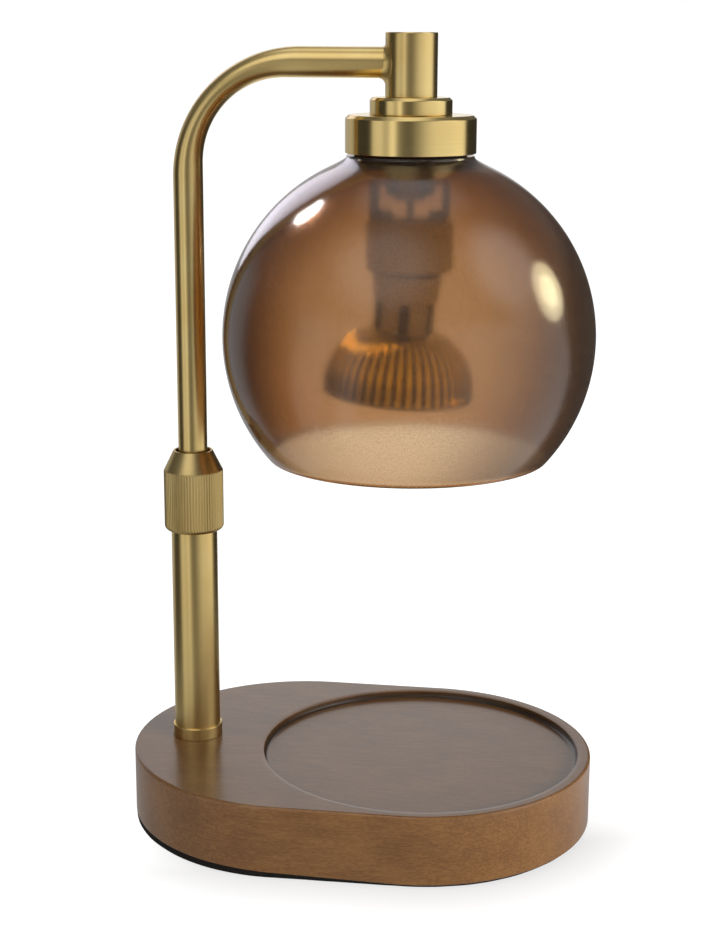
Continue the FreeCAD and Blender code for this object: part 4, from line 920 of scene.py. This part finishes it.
def makePad():
    # A thin stadium sheet with a rounded edge that wavers a little, as die-cut foam does.
    padLow, padHigh = nodeBox("base_pad")
    edge, normal = baseOutline()[1:]
    angle = np.linspace(0, turn, base["columns"], endpoint=False)
    waver = base["padRipple"] * (np.sin(9 * angle) + 0.6 * np.sin(23 * angle + 1) +
                                 0.4 * np.sin(41 * angle + 2)) / 2
    edge = edge + normal * waver[:, None]
    soft = 0.4 * mm
    # The sheet was laid a little to the left, so it comes to the wood's edge there.
    lift = padLift(edge[:, 0])
    left, right = base["padInset"]
    inset = left + (right - left) * padShare(edge[:, 0])
    edge = edge - normal * (inset + base["padRipple"])[:, None]
    upper = arcPoints((soft, padHigh[2] - soft), soft, 90, 180)
    lower = arcPoints((soft, padLow[2] + soft), soft, 180, 270)
    around = outlineRows(edge, normal, np.concatenate([upper[:, 0], lower[:, 0]]),
                         np.concatenate([upper[:, 1], lower[:, 1]]))
    around[:len(upper), :, 2] += lift
    middle = np.broadcast_to(np.array([base["shift"], 0, 0]), edge.shape[:1] + (3,))
    topMiddle = middle + np.array([0, 0, padHigh[2]])
    points = np.concatenate([
        between(topMiddle, around[0], [0, 0.5, 0.98]), around,
        between(around[-1], middle, [0.02, 0.5, 1])])
    mesh = finishMesh(gridMesh("basePad", points, False, True))
    piece = addPiece("basePad", mesh, "base", "base_pad", "foam_pad", foamFinish)


makeBase()
makePad()
print("base ready")


# Brass pole and lock nut

turnedRound = 0.25 * mm   # what a fine file leaves on a turned edge
pole = {"bore": 6.5 * mm, "edge": 0.3 * mm, "ferruleTrim": 0.3 * mm}


def makePole():
    # The outer tube and the ring round its foot, each a turned section.
    ferruleLow, ferruleHigh = nodeBox("pole_ferrule")
    outer = halfWidth("pole_tube")
    tube = turnedMesh("poleTube", ringProfile(
        pole["bore"], outer, poleLow[2], poleHigh[2], pole["edge"]), poleAxis)
    addPiece("poleTube", tube, "base", "pole_tube", "satin_brass", brassTube)
    ring = turnedMesh("poleFerrule", ringProfile(
        outer + 0.02 * mm, halfWidth("pole_ferrule") - pole["ferruleTrim"],
        ferruleLow[2], ferruleHigh[2], [0.1 * mm, 0.2 * mm, 0.3 * mm, 0.1 * mm]), poleAxis)
    addPiece("poleFerrule", ring, "base", "pole_ferrule", "satin_brass", brassTube)


nut = {
    "cone": 7.2 * mm, "mouth": 6.05 * mm, "lip": 0.7 * mm, "throat": 2.0 * mm,
    "round": 1.8 * mm, "grooves": 64, "grooveDepth": 0.26 * mm, "columnsPerGroove": 8,
    "gap": 0.05 * mm,
}


def makeNut():
    # A turned nut whose straight knurl is cut to one depth, so that the cone and the lower
    # round run out of it: each point's radius is the smaller of the turning and the knurl.
    nutLow, nutHigh = nodeBox("lock_nut")
    outer = halfWidth("lock_nut")
    bottom, top = nutLow[2], nutHigh[2]
    shoulder = top - nut["cone"]
    lip = nut["mouth"] + nut["lip"]
    bore = halfWidth("pole_tube") + nut["gap"]
    innerShoulder = poleHigh[2] + 0.3 * mm
    turning = roundedProfile(
        [(bore, bottom), (outer, bottom), (outer, shoulder), (lip, top),
         (nut["mouth"], top), (nut["mouth"], top - nut["throat"]),
         (bore, innerShoulder)],
        [0.2 * mm, nut["round"], 0.35 * mm, 0.28 * mm, 0.25 * mm, 0.3 * mm, 0.2 * mm], steps=7)
    onSide = np.linspace(bottom + nut["round"] * 1.5, shoulder - 0.3 * mm, 10)
    last = np.flatnonzero(turning[:, 1] > bottom + nut["round"] * 1.45)[0]
    turning = np.concatenate([
        turning[:last], np.stack([np.full_like(onSide, outer), onSide], axis=-1), turning[last:]])
    # Rows up the cone, close together just above the shoulder where the knurl runs out.
    first = np.argmax(np.diff(turning[:, 1]) * (turning[:-1, 1] > shoulder - 0.1 * mm))
    share = np.array([0.03, 0.06, 0.1, 0.15, 0.25, 0.5, 0.75])[:, None]
    onCone = turning[first] + (turning[first + 1] - turning[first]) * share
    turning = np.concatenate([turning[:first + 1], onCone, turning[first + 1:]])
    columns = nut["grooves"] * nut["columnsPerGroove"]
    angle = ringAngles(columns)
    groove = (0.5 + 0.5 * np.cos(angle * nut["grooves"])) ** 1.4 * nut["grooveDepth"]
    outside = np.arange(len(turning)) < np.argmax(turning[:, 1]) + 1
    knurl = np.where(outside[:, None], outer - groove[None], 1.0)
    radius = np.minimum(turning[:, :1], knurl)
    mesh = wrappedMesh("lockNut", radius, turning[:, 1], poleAxis, sharpDegrees=50)
    addPiece("lockNut", mesh, "nut", "lock_nut", "satin_brass", brassKnurledShaded)


makePole()
makeNut()
print("pole and nut ready")


# Bent arm and turned head

# In millimetres: centres are (from the pole's axis, height), circles are (centre, radius).
arm = {
    "bend": (36.0, 224.5), "outerBend": ((38.0, 222.5), 43.0), "innerBend": ((33.0, 227.5), 28.0),
    "radius": 5.0, "wall": 1.0, "widening": 0.5, "columns": 96, "into": 5.0,
}


def armSections():
    # Centre, direction across the tube, half height and half width of each section, in mm
    # from the pole axis. In the bend the outer and inner walls are circles of their own, which
    # flattens the tube there as a bent tube is; it spreads sideways by as much.
    armLow, armHigh = nodeBox("arm_tube")
    bendX, bendZ = arm["bend"]
    middle = np.array([bendX, bendZ])
    angle = np.radians(np.linspace(0, 90, 61))
    across = np.stack([-np.cos(angle), np.sin(angle)], axis=-1)

    def reach(circle):
        # How far a circle lies from the bend's middle in each direction across the tube.
        centre, radius = circle
        offset = np.array(centre) - middle
        lean = across @ offset
        return lean + np.sqrt(lean ** 2 - offset @ offset + radius ** 2)

    outer = np.minimum(reach(arm["outerBend"]), (bendX + arm["radius"]) + 0 * angle)
    straightIn = bendX - arm["radius"]
    wallIn = np.minimum(straightIn / np.maximum(np.cos(angle), 1e-6),
                        straightIn / np.maximum(np.sin(angle), 1e-6))
    inner = np.where(np.minimum(angle, math.pi / 2 - angle) < math.atan2(3, straightIn),
                     wallIn, reach(arm["innerBend"]))
    centre = middle + across * ((outer + inner) / 2)[:, None]
    height = (outer - inner) / 2
    width = arm["radius"] + arm["widening"] * np.sin(2 * angle) ** 2
    rise = np.linspace(armLow[2] / mm, bendZ - 1, 24)
    end = (armHigh[0] - poleAxis[0]) / mm + arm["into"]
    run = np.linspace(bendX + 1, end, 10)
    centre = np.concatenate([np.stack([0 * rise, rise], axis=-1), centre,
                             np.stack([run, 0 * run + bendZ + bendX], axis=-1)])
    # The straight runs before and after the bend are round.
    runs = (len(rise), len(run))
    across = np.concatenate([np.tile([-1.0, 0.0], (len(rise), 1)), across,
                             np.tile([0.0, 1.0], (len(run), 1))])
    height = np.pad(height, runs, constant_values=arm["radius"])
    width = np.pad(width, runs, constant_values=arm["radius"])
    return centre, across, height, width


def makeArm():
    # An ellipse round the centre of each section, outside and again a wall further in.
    centre, across, height, width = armSections()
    angle = np.linspace(0, turn, arm["columns"], endpoint=False) + math.pi
    skins = []
    for wall in (0, arm["wall"]):
        up = (height - wall)[:, None] * np.cos(angle)
        side = (width - wall)[:, None] * np.sin(angle)
        place = centre[:, None, :] + across[:, None, :] * up[..., None]
        skins.append(np.stack([place[..., 0], side, place[..., 1]], axis=-1))
    points = np.concatenate([skins[0], skins[1][::-1]]) * mm
    points += np.array([poleAxis[0], poleAxis[1], 0])
    mesh = finishMesh(gridMesh("armTube", points, True, True))
    addPiece("armTube", mesh, "arm", "arm_tube", "satin_brass", brassTube)


head = {
    "cupWall": 2.0 * mm, "cupFloor": 4.0 * mm, "cupRoof": 2.0 * mm, "thread": 5.0 * mm,
    "hole": 5.2 * mm, "capTop": 4.0 * mm, "capWall": 2.6 * mm, "capChamfer": 1.1 * mm,
    "discChamfer": 0.9 * mm, "boreRadius": 4 * mm, "boreLength": 14 * mm, "boreFrom": 2 * mm,
    # The fillet's size above and under the arm in mm, and how far it goes on out of sight.
    "brazeTop": 1.0, "brazeUnder": 2.5, "brazeInto": 0.1, "brazeDepth": 1.2, "brazeColumns": 96,
    "gasketInset": 2.3 * mm,   # squeezed rubber sits back from the glass's edge
}


def brazeRing(cupRadius, armZ):
    # The fillet of braze between the arm and the cup, as one closed ring: an arc from the
    # arm's skin to the cup's wall, wider under the arm where the metal ran, then back inside.
    angle = np.linspace(0, turn, head["brazeColumns"], endpoint=False)
    under = 0.5 - 0.5 * np.cos(angle)
    size = head["brazeTop"] + (head["brazeUnder"] - head["brazeTop"]) * under ** 1.5
    size = size + 0.14 * np.sin(5 * angle + 1) + 0.08 * np.sin(11 * angle)
    share = np.radians(np.linspace(0, 90, 13))[:, None]
    reach = arm["radius"] + size * (1 - np.cos(share))
    away = size * (1 - np.sin(share))
    skin = np.full((1, len(angle)), arm["radius"] - head["brazeInto"])
    deep = np.full((1, len(angle)), -head["brazeDepth"])
    reach = np.concatenate([reach, reach[-1:], skin, skin])
    away = np.concatenate([away, away[-1:] + deep, deep, away[:1]])
    up = reach * np.cos(angle)
    side = reach * np.sin(angle)
    wall = np.sqrt((cupRadius / mm) ** 2 - np.clip(side, -8, 8) ** 2)
    x = headAxis[0] - (wall + away) * mm
    points = np.stack([x, headAxis[1] + side * mm, armZ + up * mm], axis=-1)
    return finishMesh(gridMesh("brazeRing", points, True, True), 60)


def joinMeshes(name, meshes):
    # One mesh with the faces of several.
    work = bmesh.new()
    for mesh in meshes:
        work.from_mesh(mesh)
    whole = bpy.data.meshes.new(name)
    work.to_mesh(whole)
    work.free()
    return whole


def makeHead():
    # The cup with its braze, the disc, the cap and the gasket, each a turned section.
    cupLow, cupHigh = nodeBox("head_cup")
    discLow, discHigh = nodeBox("neck_disc")
    armZ = (arm["bend"][0] + arm["bend"][1]) * mm
    outer = cupHigh[0] - headAxis[0]
    inner = outer - head["cupWall"]
    low, high = cupLow[2], cupHigh[2]
    cup = turnedMesh("headCup", roundedProfile([
        (0, high - head["cupRoof"]), (inner, high - head["cupRoof"]),
        (inner, low + head["cupFloor"]), (head["thread"], low + head["cupFloor"]),
        (head["thread"], low), (outer, low), (outer, high), (0, high)],
        [0, 0.5 * mm, 0.5 * mm, 0.1 * mm, 0.1 * mm, 0.15 * mm, 0.35 * mm, 0],
        closed=False), headAxis, closed=False)
    piece = addPiece("headCup", cup, "arm", "head_cup", "satin_brass", brassTube)
    boreRadius, length = head["boreRadius"], head["boreLength"]
    bore = turnedMesh("armBore", np.array([
        (0, 0), (boreRadius, 0), (boreRadius, length), (0, length)]), (0, 0), 64, closed=False)
    bore.transform(Matrix.Translation((headAxis[0] - head["boreFrom"], headAxis[1], armZ))
                   @ Matrix.Rotation(-math.pi / 2, 4, "Y"))
    cutAway(piece, [bore])
    piece.data = joinMeshes("headCup", [piece.data, brazeRing(outer, armZ)])
    piece.data.materials.clear()
    piece.data.materials.append(brassTube)
    edge = head["discChamfer"]
    discRadius = halfWidth("neck_disc")
    disc = turnedMesh("neckDisc", roundedProfile([
        (head["hole"], discLow[2]), (discRadius, discLow[2]), (discRadius, discHigh[2] - edge),
        (discRadius - edge, discHigh[2]), (head["hole"], discHigh[2])], turnedRound), headAxis)
    addPiece("neckDisc", disc, "arm", "neck_disc", "satin_brass", brassTurned)
    capRadius = halfWidth("shade_cap")
    edge = head["capChamfer"]
    under = capHigh[2] - head["capTop"]
    inside = capRadius - head["capWall"]
    cap = turnedMesh("shadeCap", roundedProfile([
        (inside, capLow[2]), (capRadius, capLow[2]), (capRadius, capHigh[2] - edge),
        (capRadius - edge, capHigh[2]), (head["hole"], capHigh[2]), (head["hole"], under),
        (inside, under)], turnedRound), headAxis)
    addPiece("shadeCap", cap, "arm", "shade_cap", "satin_brass", brassTurned)
    gasketLow, gasketHigh = nodeBox("shade_gasket")
    gasket = turnedMesh("shadeGasket", ringProfile(
        head["hole"], halfWidth("shade_gasket") - head["gasketInset"], gasketLow[2],
        gasketHigh[2], 0.3 * mm), headAxis)
    addPiece("shadeGasket", gasket, "arm", "shade_gasket", "black_rubber", rubberFinish)


makeArm()
makeHead()
print("arm and head ready")


# Glass shade

shade = {
    "wall": 2.4 * mm, "crownWall": 2.5 * mm, "collar": 21.0 * mm, "collarHeight": 1.45 * mm,
    "sweepFrom": 26.5 * mm, "hole": 5.2 * mm, "mouth": 47.1 * mm, "columns": 224,
}


def makeShade():
    # A sphere with a flat crown above and an open mouth below, blown to an even wall. The
    # rim is fire-polished to a bead, and the crown's inner edge is soft.
    shadeLow, shadeHigh = nodeBox("glass_shade")
    outer = halfWidth("glass_shade")
    inner = outer - shade["wall"]
    top, rim = shadeHigh[2], shadeLow[2]
    centre = rim + math.sqrt(outer ** 2 - shade["mouth"] ** 2)
    shoulder = top - shade["collarHeight"]
    ceiling = top - shade["crownWall"]

    def along(radius, first, last, steps):
        # Points on the sphere's section from one angle to another.
        angle = np.linspace(first, last, steps)
        return np.stack([radius * np.cos(angle), centre + radius * np.sin(angle)], axis=-1)

    # The rim bead: a half circle of half the wall, centred on the middle of the wall.
    bead = shade["wall"] / 2
    mean = outer - bead
    drop = rim + bead - centre
    beadAt = math.asin(drop / mean)
    beadMiddle = np.array([mean * math.cos(beadAt), centre + mean * math.sin(beadAt)])
    half = beadAt + np.linspace(0, -math.pi, 15)
    lip = beadMiddle + bead * np.stack([np.cos(half), np.sin(half)], axis=-1)
    collarAt = math.acos(shade["sweepFrom"] / outer)
    crownAt = math.asin((ceiling - centre) / inner) - 0.02
    outside = along(outer, collarAt, beadAt + 0.004, 110)
    inside = along(inner, beadAt + 0.004, crownAt, 110)
    crownEdge = inside[-1][0]
    crown = roundedProfile([
        (crownEdge, ceiling), (shade["hole"], ceiling), (shade["hole"], top),
        (shade["collar"], top), (shade["collar"], shoulder)],
        [0, 0.4 * mm, 0.4 * mm, 0.3 * mm, 0], closed=False)[:-1]
    # The glass sweeps up to the collar: a curve pulled towards the corner of the sphere's
    # tangent and the collar's wall.
    begin = outside[0]
    corner = np.array([shade["collar"], begin[1] + (begin[0] - shade["collar"]) * begin[0]
                       / (begin[1] - centre)])
    end = np.array([shade["collar"], top - 0.5 * mm])
    share = np.linspace(0, 1, 12)[1:-1, None]
    sweep = end * (1 - share) ** 2 + corner * 2 * share * (1 - share) + begin * share ** 2
    outsideRows = np.concatenate([crown[-6:], sweep, outside])
    insideRows = np.concatenate([inside, [(crownEdge - 1.2 * mm, ceiling)], crown[1:-6]])
    profile = np.concatenate([outsideRows, lip[1:-1], insideRows])
    mesh = turnedMesh("glassShade", profile, headAxis, shade["columns"])
    material = smokedGlass((headAxis[0], headAxis[1], centre), mean)
    addPiece("glassShade", mesh, "arm", "glass_shade", "smoked_glass", material)


makeShade()
print("shade ready")


# Reflector lamp

bulb = {
    "wall": 1.6 * mm, "dome": 20.0 * mm, "neck": 10.2 * mm, "spigot": 8.2 * mm, "rim": 2.6 * mm,
    "flutes": 46, "fluteDepth": 1.0 * mm, "columnsPerFlute": 8,
    "neckGrooves": 6, "neckGrooveDepth": 1.5 * mm, "firstGroove": -82.7,   # degrees
    "taper": 0.8 * mm, "lipHeight": 0.6 * mm, "lipInset": 1.7 * mm, "ribHeight": 12.5 * mm,
    # The pins sit loosely in the socket, so the lamp leans by some degrees and drops a little.
    "lean": 4.5, "leanFrom": 200.0 * mm, "drop": 0.5 * mm,
}


def leaned(mesh):
    # Turns a mesh a few degrees about the socket, the rim to the left, as the lamp hangs.
    pivot = Vector((headAxis[0], headAxis[1], bulb["leanFrom"]))
    mesh.transform(Matrix.Translation(pivot - Vector((0, 0, bulb["drop"])))
                   @ Matrix.Rotation(math.radians(bulb["lean"]), 4, "Y")
                   @ Matrix.Translation(-pivot))
    return mesh


def reflectorMesh(low, high, rimRadius):
    # A turned bell, less flutes: narrow valleys between round ribs from the rim up the back,
    # and a few deep grooves round the neck. Each is a power of a wave of the angle.
    rimTop = low + bulb["rim"]
    middle = rimRadius - bulb["dome"]
    neckTurn = math.acos((bulb["neck"] - middle) / bulb["dome"])
    innerDome = bulb["dome"] - bulb["wall"]
    edge = 0.4 * mm
    insideTurn = math.acos(max(-1, (bulb["spigot"] - middle) / innerDome))
    dome = arcPoints((middle, rimTop), bulb["dome"], 0, math.degrees(neckTurn), 40)
    inside = arcPoints((middle, rimTop), innerDome, math.degrees(insideTurn), 0, 30)
    neckRise = np.linspace(dome[-1][1] + 0.4 * mm, high - 0.5 * mm, 14)
    outside = np.concatenate([
        [(rimRadius - bulb["wall"], low)],
        arcPoints((rimRadius - edge, low + edge), edge, -90, 0), dome,
        np.stack([np.full_like(neckRise, bulb["neck"]), neckRise], axis=-1),
        [(bulb["neck"] - 0.2 * mm, high)]])
    within = np.concatenate([[(bulb["spigot"], high)], [(bulb["spigot"], inside[0][1] + 0.5 * mm)],
                             inside])
    profile = np.concatenate([outside, within])
    neckFrom = dome[-1][1]
    onDome = np.clip((outside[:, 1] - rimTop + 1 * mm) / (3 * mm), 0, 1)
    onDome *= np.clip((neckFrom - outside[:, 1]) / (3 * mm), 0.25, 1)
    onNeck = np.clip((outside[:, 1] - neckFrom + 3 * mm) / (3 * mm), 0, 1)
    onNeck *= np.clip((high - outside[:, 1]) / (1.5 * mm), 0, 1)
    angle = ringAngles(bulb["flutes"] * bulb["columnsPerFlute"])
    valley = (1 - np.abs(np.sin(angle * bulb["flutes"] / 2))) ** 1.3
    groove = np.clip(np.cos((angle - math.radians(bulb["firstGroove"])) * bulb["neckGrooves"]),
                     0, 1) ** 2
    depth = (onDome[:, None] * valley * bulb["fluteDepth"]
             + onNeck[:, None] * groove * bulb["neckGrooveDepth"])
    depth = np.concatenate([depth, np.zeros((len(within), len(angle)))])
    return wrappedMesh("bulbReflector", profile[:, :1] - depth, profile[:, 1], headAxis,
                       sharpDegrees=50)


def makeBulb():
    # The reflector, ceramic base, lens, lip and capsule, turned upright and then leaned.
    bellLow, bellHigh = nodeBox("bulb_reflector")
    rimRadius = halfWidth("bulb_reflector")
    low, high = bellLow[2], bellHigh[2]
    bell = reflectorMesh(low, high, rimRadius)
    addPiece("bulbReflector", bell, "bulb", "bulb_reflector", "reflector_glass",
             dichroicGlass(bulb["flutes"]), ceramicFinish, grooveShadeFinish)
    # The ribs of the neck are ceramic; the grooves between them take the painted shade.
    centres = np.empty(len(bell.polygons) * 3)
    bell.polygons.foreach_get("center", centres)
    centres = centres.reshape(-1, 3)
    reach = np.linalg.norm(centres[:, :2] - headAxis, axis=1)
    onNeck = (centres[:, 2] > high - bulb["ribHeight"]) & (reach < bulb["neck"] + 0.3 * mm)
    outside = reach > bulb["spigot"] + 0.1 * mm
    grooved = reach < bulb["neck"] - 0.4 * mm
    index = np.where(onNeck & outside, np.where(grooved, 2, 1), 0)
    bell.polygons.foreach_set("material_index", index.astype(np.int32))
    leaned(bell)
    baseNodeLow, baseNodeHigh = nodeBox("bulb_base")
    wide = halfWidth("bulb_base")
    top, end = baseNodeHigh[2], baseNodeLow[2]
    ceramic = turnedMesh("bulbBase", roundedProfile([
        (0, end), (bulb["spigot"], end), (bulb["spigot"], high),
        (wide - bulb["taper"], high), (wide, top), (0, top)],
        [0, 0.4 * mm, 0.1 * mm, 0.6 * mm, 0.8 * mm, 0], closed=False), headAxis, closed=False)
    addPiece("bulbBase", leaned(ceramic), "bulb", "bulb_base", "white_ceramic", ceramicFinish)
    lensLow, lensHigh = nodeBox("bulb_lens")
    lensRadius = halfWidth("bulb_lens")
    lens = turnedMesh("bulbLens", roundedProfile([
        (0, lensLow[2]), (lensRadius, lensLow[2]), (lensRadius, lensHigh[2]), (0, lensHigh[2])],
        [0, 0.4 * mm, 0.4 * mm, 0], closed=False), headAxis, closed=False)
    addPiece("bulbLens", leaned(lens), "bulb", "bulb_lens", "clear_glass", lensFinish)
    lip = turnedMesh("bulbLip", ringProfile(
        rimRadius - bulb["lipInset"], rimRadius - 0.1 * mm, low - bulb["lipHeight"], low,
        0.25 * mm), headAxis)
    addPiece("bulbLip", leaned(lip), "bulb", None, "clear_glass", lipFinish)
    tipLow, tipHigh = nodeBox("bulb_capsule")
    tipRadius = halfWidth("bulb_capsule")
    capsule = turnedMesh("bulbCapsule", np.concatenate([
        arcPoints((0, tipLow[2] + tipRadius), tipRadius, -90, 0, 12),
        [(tipRadius, tipHigh[2] - 0.1 * mm), (tipRadius, tipHigh[2]), (0, tipHigh[2])]]),
        headAxis, 64, closed=False)
    addPiece("bulbCapsule", leaned(capsule), "bulb", "bulb_capsule", "clear_glass", capsuleFinish)


makeBulb()
for name in ("glassShade", "bulbReflector", "bulbLip"):
    litByGlints.objects.link(bpy.data.objects[name])
print("lamp ready")


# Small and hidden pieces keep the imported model's shapes and take a finish here.
finishes = {
    nylonFinish: ["collet", "guide_bush", "cord_bushing"],
    zincFinish: ["ballast_plate", "ballast_screws", "pole_washer", "pole_nut", "foot_nipple",
                 "pole_plug", "shade_washer", "shade_nut", "bracket_nut", "head_nipple",
                 "holder_bracket", "bracket_screws"],
    rubberFinish: ["shade_seal"],
    ceramicFinish: ["lamp_holder"],
    bronzeFinish: ["holder_contacts", "bulb_pins"],
    sleeveFinish: ["lamp_wires", "lamp_lead"],
}
for finish, nodes in finishes.items():
    for node in nodes:
        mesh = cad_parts[node].data
        mesh.materials.clear()
        mesh.materials.append(finish)
print("finishes ready")
